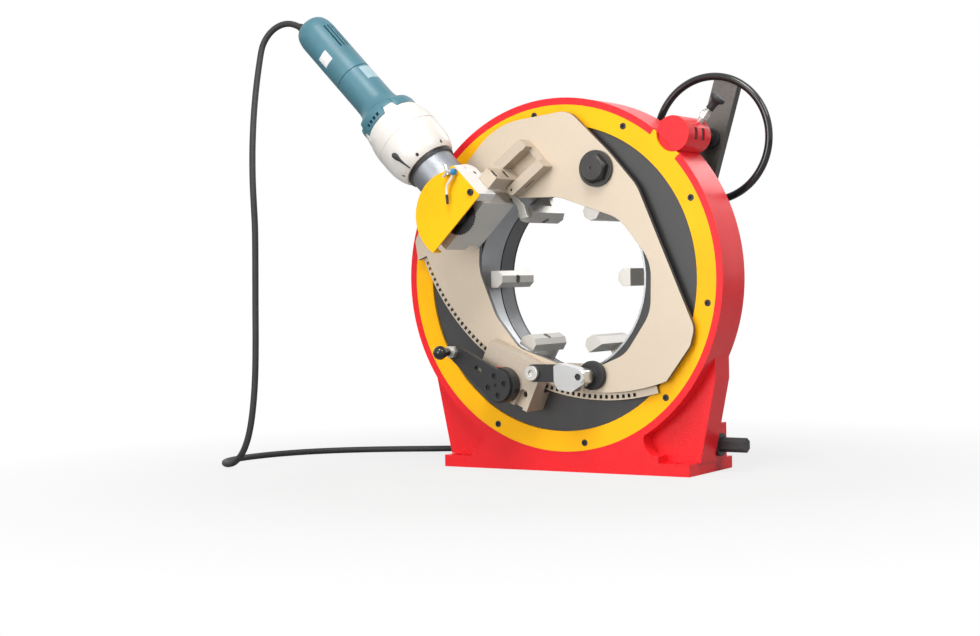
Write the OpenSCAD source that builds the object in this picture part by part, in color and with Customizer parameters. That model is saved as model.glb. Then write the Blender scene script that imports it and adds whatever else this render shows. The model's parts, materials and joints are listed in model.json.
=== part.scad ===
// Orbital pipe cutting machine: a fixed ring casing on a foot, a geared rotor that carries
// a swinging saw head round the pipe, and a six-jaw chuck behind it. Millimetres, +Z up.
// The ring axis runs along Y at x = 0, the floor is z = 0 and the casing's front face is y = 0.

/* [Casing] */
// Outer radius of the ring casing
case_r = 270.5; // [270:0.5:276]
// Height of the casing's lowest point above the floor
ring_rise = 19.5; // [18.5:0.5:29]
// Depth of the ring casing
case_d = 74; // [74:1:78]
// Width of the red lip round the retaining ring
lip_w = 10.5; // [9:0.5:12]
// Depth at which the side webs start
web_front = 27; // [22:1:32]
// Half width of the web where it leaves the ring
web_top = 243; // [238:1:250]
// Half width of the web at the foot
web_bottom = 217; // [213:1:224]
// Thickness of the foot plate
foot_t = 18; // [16:1:18]
// Half length of the foot plate
foot_half = 212; // [206:1:218]
// Depth of the foot plate
foot_d = 145; // [142:1:160]
// Radius of the rounded end of each web pocket
pocket_r = 24; // [20:1:26]
// Radius of the four foot bolt holes
foot_hole_r = 7; // [5:0.5:9]
// Distance between foot bolt holes along X
foot_hole_x = 380; // [370:1:384]
// Distance between foot bolt holes along Y
foot_hole_y = 118; // [114:1:118]

/* [Retaining ring] */
// Width of the yellow ring
ring_w = 30.6; // [29:0.1:32]
// Thickness of the yellow ring
ring_t = 6; // [5:0.5:8]
// Number of ring screws
ring_screws_n = 10; // [8:1:12]
// Distance of the ring screws from the ring's outer edge
ring_screw_in = 11.4; // [10:0.1:14]
// Head radius of the ring screws
ring_screw_r = 5; // [4:0.5:6]

/* [Rotor] */
// Depth of the rotor's front face behind the casing face
rotor_face = 3; // [2:0.5:4]
// Clear radius through the machine
bore_r = 143; // [141:0.5:144]
// Wall of the bright sleeve in the rotor
sleeve_w = 3; // [2:0.5:4]
// Teeth on the hand-turned pinion
pinion_teeth = 13; // [13:2:15]
// Direction of the pinion from the ring axis
pinion_dir = 46.8; // [44:0.2:48]

/* [Swing plate] */
// Thickness of the swing plate
plate_t = 8; // [7:0.5:10]
// Distance of the pivot to the right of the ring axis
pivot_x = 76.5; // [75:0.5:78]
// Height of the pivot above the ring axis
pivot_z = 160.4; // [159:0.2:162]
// Pitch radius of the feed sector about the pivot
sector_r = 336; // [334.5:1.5:337.5]
// Thickness of the feed sector
sector_t = 5.8; // [5:0.2:6.2]
// Teeth on the feed pinion
feed_teeth = 10; // [10:1:11]
// Direction of the feed pinion from the pivot
feed_dir = -114.85; // [-116:0.05:-114]
// Pivot journal radius
pivot_r = 14; // [12:0.5:15]
// Flange radius of the pivot nut
nut_flange_r = 27; // [25:0.5:28]

/* [Cutting head] */
// Arbor to the left of the ring axis
arbor_x = -104.5; // [-106:0.5:-103]
// Arbor above the ring axis
arbor_z = 95.7; // [94:0.1:97]
// Direction of the motor from the arbor
head_dir = 134.5; // [133:0.5:136]
// Radius of the saw blade
blade_r = 30; // [24:0.5:34]
// Thickness of the saw blade
blade_t = 2; // [1.5:0.1:3]
// Outer radius of the guard plate
guard_r = 65.6; // [64:0.2:67]
// Front face of the guard plate
guard_front = 128; // [126:0.5:130]
// Distance from the motor axis to the casing face
motor_y = 71; // [70:0.5:72]
// Radius of the motor barrel
barrel_r = 30; // [28:0.2:31]
// Largest radius of the bell housing
bell_r = 53; // [50:0.5:55]

/* [Crank] */
// Length of the crank from hub to knob
crank_l = 91; // [85:1:95]
// Radius of the crank hub
crank_hub_r = 24; // [22:0.5:26]
// Radius of the ball knob
knob_r = 10.5; // [9:0.5:12]

/* [Handwheel] */
// Radius to the middle of the handwheel rim
wheel_r = 93.2; // [88:0.2:98]
// Radius of the rim section
rim_r = 5.8; // [5:0.1:7]
// Depth of the handwheel behind the casing face
wheel_y = 132; // [126:1:136]
// Width of the channel spoke
spoke_w = 40; // [34:1:44]

/* [Chuck] */
// Radius of the jaw tips at rest
jaw_tip = 101; // [98:0.5:103]
// Width of each jaw
jaw_w = 26; // [24:0.5:28]
// Height of the jaw bar along its radius
jaw_h = 20; // [18:0.5:22]
// Length of the jaw bar
jaw_l = 93; // [90:0.5:96]
// Radial travel per radian of cam ring turn
cam_lead = 35; // [34:0.5:36]
// Metal between the inner end of a cam slot and the cam ring's bore
cam_land = 12.45; // [12:0.05:16]
// Travel of the jaws outwards from rest
jaw_out = 10; // [8:0.5:10]

/* [Hidden] */
$fn = 96;

run_clear = 0.05;     // radial clearance of a running fit
gap = 0.3;            // clearance between faces that pass each other
skin = 0.01;          // overrun of a cut past its face

gear_module = 3;                          // ring gear and feed gears
case_wall = 3;                            // casing wall outside the rotor gear
ring_h = case_r + ring_rise;              // height of the ring axis
ring_in = case_r - lip_w - ring_w;        // inner radius of the yellow ring
ring_screw_circle = case_r - lip_w - ring_screw_in;

// Rotor gear and hand pinion
rotor_teeth = floor(2 * (case_r - case_wall - 0.5) / gear_module) - 2;
rotor_pitch = rotor_teeth * gear_module / 2;
pinion_pitch = pinion_teeth * gear_module / 2;
pinion_tip = pinion_pitch + gear_module;
pinion_reach = rotor_pitch + pinion_pitch;
pinion_x = pinion_reach * cos(pinion_dir);
pinion_z = pinion_reach * sin(pinion_dir);
gear_front = case_d - 37;                 // front of the rotor's toothed rim
gear_back = case_d - 14;                  // back of the rotor
flange_back = case_d - 41;                // back of the casing's inner flange
bush_w = 7;                               // wall of the rotor bush
rotor_r = ring_in - 0.6;                  // rotor boss radius
pinion_pocket = pinion_tip + 0.7;
lobe_r = pinion_pocket + 3;
lobe_front = 0;
shaft_r = 8;
notch_half = 6;                           // half angle of the lip gap at the pinion lobe

// Swing plate stack, counted forwards from the casing face
sector_back = -1.2;
plate_back = sector_back - sector_t;
plate_front = plate_back - plate_t;
plate_edge = sector_r - 6;                // plate radius inside the holed strip
strip_t = 2.6;                            // holed strip in front of the sector's teeth
strip_back = plate_back + strip_t;
strip_r = sector_r + 5.4;                 // outer edge of the holed strip
sector_in = sector_r - 36;
sector_teeth = round(2 * sector_r / gear_module);
sector_from = -158.2;
sector_to = -79.5;
feed_pitch = feed_teeth * gear_module / 2;
feed_tip = feed_pitch + gear_module;
feed_x = pivot_x + (sector_r + feed_pitch) * cos(feed_dir);
feed_z = pivot_z + (sector_r + feed_pitch) * sin(feed_dir);
bracket_front = -44;
crank_back = bracket_front - 18;
crank_t = 8;
crank_dir = 146.7;
knob_x = feed_x + crank_l * cos(crank_dir);
knob_z = feed_z + crank_l * sin(crank_dir);
lock_x = -16;
lock_z = -139.5;
lock_front = bracket_front - gap - 9;
pad_x = 65.5;
pad_z = -143.7;

// Cutting head, in its own frame: w across, s along the motor axis
gear_face = -14.3;                        // end face of the gearbox, towards the pipe
gear_top = 56;
gearbox_w = [-57.5, 38.7];
gearbox_front = -101;
wall_w = [38.7, 52.7];
wall_s = [-12, 50];
wall_edge = [[-77, -10, 3], [-72, 33, 20], [-60, 49, 10], [-84, 56, 14]];  // back edge: depth and s
guard_t = 3;
fork_h = 27;
fork_end = 125;
fork_s = [-23.8, -8.5, 19.5, 35.8];       // edges of the two prongs at the fork's end face
key_s = [1.3, 24.7];
blade_y = -112;
sleeve_r = 36.5;
sleeve_s = 104;
bell_s = 110;
bell_end = 209;
flare_s = 226;
barrel_s = 248;
seam_s = 309;
tail_s = 432;
relief_l = 20;
crown_r = 8;
crown_teeth = 12;
crown_face = -78.4;
head_pinion_teeth = 8;
head_module = 2 * crown_r / crown_teeth;

// Chuck stack, counted backwards from the casing face
chuck_front = case_d - 11;
slide_front = case_d - 8;
cam_front = case_d + 6.3;
cam_back = case_d + 21.7;
cover_front = case_d + 23.2;
cover_back = case_d + 28;
worm_y = case_d + 14;
cam_bore = bore_r + 3.25;
worm_module = 2.5;
worm_pitch = 15;
wheel_teeth = round(2 * (case_r - 35.5) / worm_module);
wheel_pitch = wheel_teeth * worm_module / 2;
cover_r = wheel_pitch + 10;
chuck_r = wheel_pitch - 1;
slot_end = wheel_pitch - 3.8;
worm_z = -(wheel_pitch + worm_pitch);
worm_l = 36;
housing_x = [-62, 217];
housing_back = case_d + 42;
housing_top = 16 - wheel_pitch;
pin_at = wheel_pitch - 30;                // radius of a jaw's cam pin at rest
pin_r = 6;
jaw_in = pin_at - cam_bore - pin_r - gap - cam_land;  // travel of the jaws inwards from rest
slide_end = pin_at + 15;
hex_af = 19;

// Route of the mains lead, from the motor's strain relief to the floor and round the foot
cord_r = 5;
cord_dir = 157;                           // direction in which the lead leaves the motor
cord_root = head_point(tail_s - 8, -4);
cord_start = cord_root + (relief_l + 4) * [cos(cord_dir), 0, sin(cord_dir)];
cord_route = [
    [-445.9, -71.2, 701.5], [-456.4, -71.9, 701.9], [-466.6, -73, 699.7], [-476.1, -74.5, 695.1],
    [-484.1, -76.3, 688.3], [-490.2, -78.5, 679.9], [-494.2, -81, 670.1], [-495.6, -83.9, 659],
    [-495.1, -89.5, 640], [-493.1, -97.4, 616], [-489.6, -106.6, 590], [-484.2, -117.6, 560],
    [-478, -128.2, 530], [-471.7, -137.8, 500], [-465.7, -145.8, 470], [-460.7, -151.4, 440],
    [-457.3, -153.9, 410], [-456, -154, 380],
    [-456, -154, 350], [-456, -155, 300],
    [-457, -155, 250], [-457, -156, 200], [-459, -156, 150], [-462, -157, 110], [-467, -158, 75],
    [-475, -158, 47], [-488, -157, 24], [-507, -153, 10],
    [-529, -143, 5.4], [-549, -127, 5], [-563, -105, 5], [-571, -78, 5], [-573, -48, 5],
    [-570, -18, 5], [-563, 11, 5], [-552, 38, 5], [-538, 63, 5], [-520, 86, 5], [-499, 107, 5],
    [-476, 125, 5], [-451, 142, 5], [-424, 157, 5], [-397, 171, 5], [-369, 184, 5], [-342, 198, 5],
    [-315, 212, 5], [-288, 226, 5], [-262, 241, 5], [-236, 256, 5], [-209, 269, 5], [-181, 280, 5],
    [-152, 287, 5], [-130, 289, 5]];
coil_at = [-120, 227];
coil_r = 62;                              // outermost loop
coil_step = 10.8;                         // spacing of loops and of layers
coil_turns = 1.5;                         // turns in each layer
plug_l = 38;

function head_point(s, w = 0) = [
    arbor_x + s * cos(head_dir) + w * sin(head_dir), -motor_y,
    ring_h + arbor_z + s * sin(head_dir) - w * cos(head_dir)];
function polar(r, a) = [r * cos(a), r * sin(a)];

// A polygon whose corners [x, y, r] are rounded by arcs of radius r
function unit(v) = v / norm(v);
function corner_arc(a, b, c, steps = 8) =
    let (u = unit([a[0] - b[0], a[1] - b[1]]), v = unit([c[0] - b[0], c[1] - b[1]]),
         half = acos(max(-1, min(1, u * v))) / 2, d = b[2] / tan(half),
         m = [b[0], b[1]] + unit(u + v) * b[2] / sin(half),
         p = [b[0], b[1]] + u * d, q = [b[0], b[1]] + v * d,
         a0 = atan2(p[1] - m[1], p[0] - m[0]), turn = atan2(q[1] - m[1], q[0] - m[0]) - a0,
         sweep = turn > 180 ? turn - 360 : turn < -180 ? turn + 360 : turn)
    [for (i = [0:steps]) m + b[2] * [cos(a0 + sweep * i / steps), sin(a0 + sweep * i / steps)]];
function rounded(pts) =
    [for (i = [0:len(pts) - 1])
        each corner_arc(pts[(i + len(pts) - 1) % len(pts)], pts[i], pts[(i + 1) % len(pts)])];

module at_ring() { translate([0, 0, ring_h]) children(); }

// Extrudes an X-Z outline from depth y0 to depth y1
module slab(y0, y1) { translate([0, y1, 0]) rotate([90, 0, 0]) linear_extrude(y1 - y0) children(); }

module ring2d(r_out, r_in) { difference() { circle(r_out); circle(r_in); } }

// The cutting head's own frame: X is across, Z runs out along the motor
module in_head() {
    translate([arbor_x, 0, ring_h + arbor_z]) rotate([0, 90 - head_dir, 0]) children();
}

// Straight-sided gear outline with a tooth on the +X axis, thin by twice the play
module gear2d(teeth, m, play = 0.35) {
    pitch = teeth * m / 2;
    tip = pitch + m * 0.9;
    root = pitch - m * 1.2;
    step = 360 / teeth;
    at_tip = (m * 0.32 - play * 0.5) / tip * 57.3;
    at_root = (m * 1.18 - play * 0.5) / root * 57.3;
    polygon([for (i = [0:teeth - 1])
        each [polar(root, i * step - at_root), polar(tip, i * step - at_tip),
              polar(tip, i * step + at_tip), polar(root, i * step + at_root)]]);
}

module wedge2d(r, a0, a1) { polygon([[0, 0], for (i = [0:6]) polar(r, a0 + (a1 - a0) * i / 6)]); }

// Casing

module web2d() {
    drop = ring_h - foot_t + skin;
    difference() {
        polygon([[-web_top, -90], [-web_top, -150], [-web_bottom, -drop], [web_bottom, -drop],
                 [web_top, -150], [web_top, -90]]);
        circle(case_r - 1);
    }
}

module front_web2d() {
    drop = ring_h - foot_t + skin;
    edge = 162;
    difference() {
        translate([-edge, -drop]) square([2 * edge, drop - 150]);
        for (side = [-1, 1]) translate([side * edge, foot_t + 34 - ring_h]) circle(pocket_r);
        circle(case_r - 1);
    }
}

module foot_holes() {
    for (x = [-1, 1], y = [0, 1])
        translate([x * foot_hole_x / 2, 13 + y * foot_hole_y, -ring_h - skin])
            cylinder(r = foot_hole_r, h = foot_t + 2 * skin);
}

module frame_casting() color("#e0202a") at_ring() {
    difference() {
        union() {
            slab(0, ring_t) difference() {
                ring2d(case_r, case_r - lip_w);
                wedge2d(case_r + 9, pinion_dir - notch_half, pinion_dir + notch_half);
            }
            slab(ring_t, flange_back) ring2d(case_r, rotor_r + run_clear + bush_w);
            slab(flange_back, case_d) ring2d(case_r, case_r - case_wall);
            slab(web_front, case_d) web2d();
            slab(0, web_front) front_web2d();
            translate([-foot_half, 0, -ring_h]) cube([2 * foot_half, foot_d, foot_t]);
            slab(lobe_front, case_d) difference() {
                translate([pinion_x, pinion_z]) circle(lobe_r);
                circle(case_r - 1);
            }
        }
        slab(-skin, ring_t) circle(case_r - lip_w);
        slab(gear_front - 1, case_d + skin) translate([pinion_x, pinion_z]) circle(pinion_pocket);
        slab(12, gear_front) translate([pinion_x, pinion_z]) circle(shaft_r + run_clear);
        slab(gear_front - 1, gear_back + 1) circle(case_r - case_wall);
        plunger_axis() translate([0, 0, pinion_pocket - 3]) cylinder(r = 5, h = 14);
        for (y = [21, 45]) translate([pinion_x + lobe_r - 2.2, y, pinion_z - 9]) cube([9, 10, 18]);
        foot_holes();
        ring_screw_places() cylinder(r = 3, h = flange_back);
    }
}

module worm_housing() color("#c81c26") at_ring() {
    difference() {
        translate([housing_x[0], case_d, -ring_h + foot_t])
            cube([housing_x[1] - housing_x[0], housing_back - case_d, housing_top + ring_h - foot_t]);
        slab(case_d - skin, cover_back + gap) circle(cover_r + gap);
        worm_axis(housing_x[0] + 6) cylinder(r = 11 + run_clear, h = housing_x[1] - housing_x[0]);
        worm_space();
        worm_axis(housing_x[1] - 24) cylinder(r = 14, h = 24 + skin);
    }
}

module worm_space() { worm_axis(-worm_l / 2 - 4) cylinder(r = 18.5, h = worm_l + 8); }

module worm_axis(x) { translate([x, worm_y, worm_z]) rotate([0, 90, 0]) children(); }

module shaft_bush() color("#26282b") at_ring() {
    difference() {
        union() {
            worm_axis(housing_x[1] - 24) cylinder(r = 14, h = 24);
            worm_axis(housing_x[1]) cylinder(r = 17, h = 6);
        }
        worm_axis(housing_x[1] - 25) cylinder(r = 11 + run_clear, h = 40);
        translate([housing_x[1] - 1, case_d - 20, worm_z - 20]) cube([9, 20 + gap, 40]);
    }
}

// Retaining ring

module ring_screw_places() {
    for (i = [0:ring_screws_n - 1])
        rotate([0, -(45 + 180 / ring_screws_n + i * 360 / ring_screws_n), 0])
            translate([ring_screw_circle, 0, 0]) rotate([-90, 0, 0]) children();
}

module retaining_ring() color("#ffc21a") at_ring() {
    difference() {
        slab(0, ring_t) difference() {
            union() {
                circle(case_r - lip_w);
                intersection() {
                    wedge2d(case_r + 9, pinion_dir - notch_half + 0.1, pinion_dir + notch_half - 0.1);
                    rotate(pinion_dir) translate([0, -60]) square([case_r - 2.4, 120]);
                }
            }
            circle(ring_in);
            translate([pinion_x, pinion_z]) circle(lobe_r + 0.2);
        }
        translate([0, -skin, 0]) ring_screw_places() cylinder(r = ring_screw_r, h = ring_t + 1);
    }
}

module ring_screws() color("#1c1c1e") at_ring() {
    ring_screw_places() {
        difference() {
            cylinder(r = ring_screw_r, h = ring_t);
            translate([0, 0, -skin]) cylinder(r = 2.6, h = 3, $fn = 6);
        }
        translate([0, 0, ring_t]) cylinder(r = 3, h = 16);
    }
}

// Rotor and its bearing

module rotor_bush() color("#b08a4a") at_ring() {
    slab(ring_t, flange_back) ring2d(rotor_r + run_clear + bush_w, rotor_r + run_clear);
    slab(flange_back, gear_front - gap) ring2d(rotor_pitch - 8, rotor_r + run_clear);
}

module rotor_disc() color("#2e2e30") at_ring() {
    difference() {
        union() {
            slab(rotor_face, gear_back) circle(rotor_r);
            slab(gear_front, gear_back)
                rotate(pinion_dir + 180 / rotor_teeth) gear2d(rotor_teeth, gear_module);
        }
        slab(rotor_face - skin, gear_back + skin) circle(bore_r + sleeve_w);
        slab(rotor_face - skin, gear_back + skin) translate([pivot_x, pivot_z]) circle(pivot_r - 2);
    }
}

module rotor_sleeve() color("#c9c2b6") at_ring() {
    slab(rotor_face - 1, gear_back) ring2d(bore_r + sleeve_w, bore_r);
}

// Hand drive

module pinion_bearing() color("#b08a4a") at_ring() {
    slab(gear_back + 1, case_d)
        translate([pinion_x, pinion_z]) ring2d(pinion_pocket, shaft_r + run_clear);
}

module pinion_shaft() color("#8d9096") at_ring() translate([pinion_x, 0, pinion_z]) {
    slab(14, gear_front + 3) circle(shaft_r);
    slab(gear_front + 3, gear_back - 1) circle(shaft_r - 2);
    slab(gear_back - 1, wheel_y - 12) circle(shaft_r);
    slab(wheel_y - 12, wheel_y - 2) circle(15);
    slab(wheel_y - 2, wheel_y + 8) circle(shaft_r - 2);
    slab(wheel_y + 2, wheel_y + 8) circle(11, $fn = 6);
}

module drive_pinion() color("#7c7f84") at_ring() translate([pinion_x, 0, pinion_z]) {
    slab(gear_front + 3, gear_back - 1) difference() {
        rotate(pinion_dir + 180) gear2d(pinion_teeth, gear_module);
        circle(shaft_r - 2);
    }
}

module wheel_frame() {
    at_ring() translate([pinion_x, wheel_y, pinion_z]) rotate([90, 0, 0]) rotate(73) children();
}

module handwheel_rim() color("#1d1d1f") wheel_frame() {
    rotate_extrude() translate([wheel_r, 0]) circle(rim_r);
}

module handwheel_spoke() color("#232325") wheel_frame() {
    reach = wheel_r - rim_r + 1.5;
    fold = 14;
    difference() {
        translate([-reach, -spoke_w / 2, -fold]) cube([2 * reach, spoke_w, fold + 2]);
        translate([-reach - 1, -spoke_w / 2 + 2.5, -fold - 1]) cube([2 * reach + 2, spoke_w - 5, fold + 1]);
        translate([0, 0, -fold]) cylinder(r = shaft_r - 2, h = 2 * fold);
        rotate_extrude() translate([wheel_r, 0]) circle(rim_r);
    }
}

module plunger_axis() {
    translate([pinion_x, case_d - 21, pinion_z]) rotate([0, 90 - pinion_dir, 0]) children();
}

module plunger_body() color("#b9bcc0") at_ring() plunger_axis() {
    difference() {
        union() {
            translate([0, 0, pinion_pocket + 0.6]) cylinder(r = 5, h = lobe_r - pinion_pocket + 8);
            translate([0, 0, lobe_r + 8]) cylinder(r = 8, h = 9, $fn = 6);
            translate([0, 0, lobe_r + 17]) cylinder(r = 5.5, h = 3.6);
        }
        cylinder(r = 2.5 + run_clear, h = lobe_r + 40);
    }
}

module plunger_pin() color("#a6a9ad") at_ring() plunger_axis() {
    translate([0, 0, pinion_tip + 0.5]) cylinder(r = 2.5, h = lobe_r + 26 - pinion_tip);
}

module plunger_knob() color("#141415") at_ring() plunger_axis() {
    difference() {
        translate([0, 0, lobe_r + 30]) rotate_extrude()
            polygon([[0, -6], [6, -6], [6, 4], [7, 8], [11.5, 12], [12, 15], [10, 18], [0, 19]]);
        translate([0, 0, lobe_r + 20]) cylinder(r = 2.5, h = 6.5 + skin);
    }
}

// Feed mechanism on the rotor

module in_feed() {
    at_ring() translate([feed_x, 0, feed_z]) rotate([0, -feed_dir, 0]) children();
}

module feed_bracket() color("#d8cab4") difference() {
    base = strip_r + 0.8 - sector_r - feed_pitch;
    in_feed() {
        slab(bracket_front, plate_front - 0.5) translate([-50, -52]) square([71, 102]);
        slab(plate_front - 0.5, rotor_face) translate([base, -52]) square([21 - base, 102]);
    }
    in_feed() {
        slab(plate_front, rotor_face + skin) circle(feed_tip + 1.5);
        slab(bracket_front - skin, rotor_face) circle(9 + run_clear);
        slab(bracket_front - skin, bracket_front + 9) {
            translate([0, 34]) circle(8);
            translate([0, 26]) square([30, 16]);
        }
        slab(bracket_front - skin, rotor_face + skin) translate([0, 34]) circle(4.5);
    }
    at_ring() slab(bracket_front - skin, bracket_front + 14) translate([lock_x, lock_z]) circle(5);
}

module feed_pinion() color("#8b8e93") in_feed() {
    slab(strip_back + gap, rotor_face - 2.5) rotate(180) gear2d(feed_teeth, gear_module);
    slab(crank_back, strip_back + gap) circle(9);
    slab(rotor_face - 2.5, rotor_face - gap) circle(9);
}

module feed_crank() color("#222326") at_ring() translate([feed_x, 0, feed_z]) {
    knob_at = polar(crank_l, crank_dir);
    side = crank_dir + 90;
    difference() {
        union() {
            slab(crank_back, bracket_front - gap) circle(crank_hub_r + 3);
            slab(crank_back - crank_t, crank_back) union() {
                circle(crank_hub_r);
                translate(knob_at) circle(11);
                polygon([polar(crank_hub_r - 1, side), knob_at + polar(11, side),
                         knob_at - polar(11, side), -polar(crank_hub_r - 1, side)]);
            }
        }
        slab(crank_back, bracket_front) circle(9);
        for (i = [0:3]) slab(crank_back - crank_t - skin, crank_back - crank_t + 5)
            translate(polar(14.5, crank_dir + 45 + i * 90)) circle(4);
        slab(crank_back - crank_t - skin, crank_back - crank_t + 2) circle(3);
        slab(crank_back - crank_t - skin, crank_back + skin) {
            translate(polar(37, crank_dir - 4)) circle(4);
            translate(polar(42, crank_dir - 4)) circle(4);
        }
        slab(crank_back - crank_t - skin, crank_back + skin) translate(knob_at) circle(5);
    }
}

module knob_spindle() color("#c4c6c9") at_ring()
    translate([knob_x, 0, knob_z]) {
        slab(crank_back - crank_t, crank_back) circle(5);
        slab(crank_back - crank_t - 8, crank_back - crank_t) circle(10, $fn = 6);
        slab(crank_back - crank_t - 14, crank_back - crank_t - 8) circle(6.5);
        slab(crank_back - crank_t - 38, crank_back - crank_t - 14) circle(4);
    }

module crank_knob() color("#111112") at_ring()
    translate([knob_x, crank_back - crank_t - 34, knob_z])
        difference() {
            union() {
                sphere(knob_r);
                rotate([-90, 0, 0]) cylinder(r1 = 8, r2 = 6, h = 19.5);
            }
            translate([0, -5, 0]) rotate([-90, 0, 0]) cylinder(r = 4 + run_clear, h = 30);
        }

// Swing plate lock

module lock_screw() color("#c9cbce") at_ring() translate([lock_x, 0, lock_z]) {
    difference() {
        slab(lock_front - gap - 7, lock_front - gap) circle(11);
        slab(lock_front - gap - 7 - skin, lock_front - gap - 3) circle(5, $fn = 6);
    }
    slab(lock_front - gap, bracket_front) circle(8);
    slab(bracket_front, bracket_front + 14) circle(5);
}

module lock_bar() color("#2a2b2e") at_ring() {
    slab(lock_front, bracket_front - gap) difference() {
        union() {
            translate([lock_x, lock_z]) circle(13);
            translate([lock_x, lock_z - 13]) square([38, 26]);
        }
        translate([lock_x, lock_z]) circle(8 + run_clear);
    }
}

module lock_block() color("#d7d9dc") at_ring() {
    slab(lock_front - 10, lock_front - 5) translate([pad_x, pad_z]) ring2d(9.7, 5 + run_clear);
    difference() {
        slab(lock_front - 5, plate_front - 21)
            polygon(rounded([[lock_x + 38, lock_z - 11, 1], [lock_x + 44, lock_z - 23, 2],
                             [pad_x - 14, lock_z - 27, 6], [pad_x + 9, pad_z - 9, 7],
                             [pad_x + 9, pad_z + 9, 7], [lock_x + 46, lock_z + 15, 4],
                             [lock_x + 38, lock_z + 11, 1]]));
        slab(lock_front - 6, plate_front) translate([pad_x, pad_z]) circle(5 + run_clear);
    }
}

module lock_pad() color("#17181a") at_ring() translate([pad_x, 0, pad_z]) {
    slab(plate_front - gap - 9, plate_front - gap) circle(21.5);
    slab(plate_front - 16, plate_front - gap - 9) circle(9);
    slab(lock_front - 8, plate_front - 16) circle(5);
}

// Swing plate

module plate2d() {
    difference() {
        polygon(rounded([[-251, 62, 16], [-240, 83, 20], [-100.2, 235.2, 120],
                         [29, 249.4, 36], [96, 185, 60], [142, 133, 70], [231, -74, 24],
                         [224, -100, 24], [160, -184, 20], [60, -260, 40], [-140, -220, 40],
                         [-246, 30, 4]]));
        translate([pivot_x, pivot_z]) intersection() {
            ring2d(sector_r + 120, plate_edge);
            wedge2d(sector_r + 160, sector_from, -60);
        }
        polygon(rounded([[-131, 60, 30], [-88, 122, 30], [10, 121, 60], [112, 86, 60], [163, 22, 60],
                         [161, -52, 60], [118, -113, 50], [80, -128, 20], [2, -126, 20],
                         [-64, -104, 40], [-104, -56, 60], [-133, 14, 60]]));
        translate([pivot_x, pivot_z]) circle(pivot_r + run_clear + 3);
    }
}

module swing_plate() color("#d9cbb5") at_ring() slab(plate_front, plate_back) plate2d();

module pivot_bush() color("#a8894e") at_ring() translate([pivot_x, 0, pivot_z])
    slab(plate_front, plate_back) ring2d(pivot_r + run_clear + 3, pivot_r + run_clear);

module pivot_stud() color("#55585c") at_ring() translate([pivot_x, 0, pivot_z]) {
    slab(rotor_face, gear_back) circle(pivot_r - 2);
    slab(plate_back + gap, rotor_face) circle(pivot_r + 8);
    slab(plate_front - gap, plate_back + gap) circle(pivot_r);
    slab(plate_front - 13.7, plate_front - gap) circle(pivot_r - 2);
}

module pivot_nut() color("#2b2c2e") at_ring() translate([pivot_x, 0, pivot_z]) {
    difference() {
        union() {
            slab(plate_front - 6, plate_front - gap) circle(nut_flange_r);
            intersection() {
                slab(plate_front - 18, plate_front - 6) rotate(12) circle(22.5, $fn = 6);
                translate([0, plate_front - 18, 0]) rotate([-90, 0, 0])
                    cylinder(r1 = 17.5, r2 = 29.5, h = 12);
            }
        }
        slab(plate_front - 14, plate_front) circle(pivot_r - 2);
        slab(plate_front - 18 - skin, plate_front - 16.5) circle(2.5);
    }
}

module feed_sector() color("#cdbfa9") at_ring() translate([pivot_x, 0, pivot_z]) {
    root = sector_r - 1.2 * gear_module;
    step = 360 / sector_teeth;
    slab(plate_back, strip_back) difference() {
        intersection() {
            ring2d(strip_r, sector_in);
            wedge2d(sector_r + 12, sector_from, sector_to + 5);
        }
        for (i = [ceil((sector_from + 0.6 - feed_dir) / step):floor((sector_to - feed_dir) / step)])
            rotate(feed_dir + i * step) translate([sector_r + 0.4, 0]) square([5.6, 4.6], center = true);
    }
    slab(strip_back, sector_back) intersection() {
        difference() {
            union() {
                intersection() {
                    rotate(feed_dir + 180 / sector_teeth) gear2d(sector_teeth, gear_module);
                    wedge2d(sector_r + 12, sector_from, sector_to);
                }
                circle(root);
            }
            circle(sector_in);
        }
        wedge2d(sector_r + 12, sector_from, sector_to + 5);
    }
}

// Fork on the plate: two prongs that lean against its end face, joined by a low bridge
function prong(w, s, r) = [w, s + 0.13 * (fork_end - w), r];

module head_fork() color("#cfc3b0") in_head() difference() {
    slab(plate_front - fork_h, plate_front)
        polygon(rounded([prong(54, fork_s[0], 7), prong(fork_end, fork_s[0], 2),
                         prong(fork_end, fork_s[3], 2), prong(66, fork_s[3], 2),
                         prong(72.5, fork_s[2], 2), prong(fork_end - 8, fork_s[2], 4),
                         prong(fork_end - 8, fork_s[1], 4), prong(54, fork_s[1], 7)]));
    slab(plate_front - fork_h - skin, plate_front - 9)
        translate([fork_end - 12, fork_s[1]]) square([13, fork_s[2] - fork_s[1]]);
    slab(plate_front - fork_h - skin, plate_front + skin) translate([61, -7.5]) circle(2.2);
    translate([75, plate_front - 16, -26]) cube([18, 6, 12]);
}

module key_block() color("#b5aa9a") in_head() difference() {
    slab(-88, plate_front) translate([wall_w[1], key_s[0]]) square([21.3, key_s[1] - key_s[0]]);
    for (y = [-80, -48]) translate([wall_w[1] + 10, y, (key_s[0] + key_s[1]) / 2]) {
        for (s = [-3, 3]) translate([0, 0, s]) rotate([0, 90, 0]) cylinder(r = 4, h = 12);
        translate([0, -4, -3]) cube([12, 8, 6]);
    }
}

module chip_tab() color("#c3c6c8") at_ring()
    slab(plate_front - 5, plate_front)
        polygon([[-72, 124], [-64, 127], [-47, 111], [-42, 92], [-54, 90], [-60, 110]]);

// Cutting head

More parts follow.
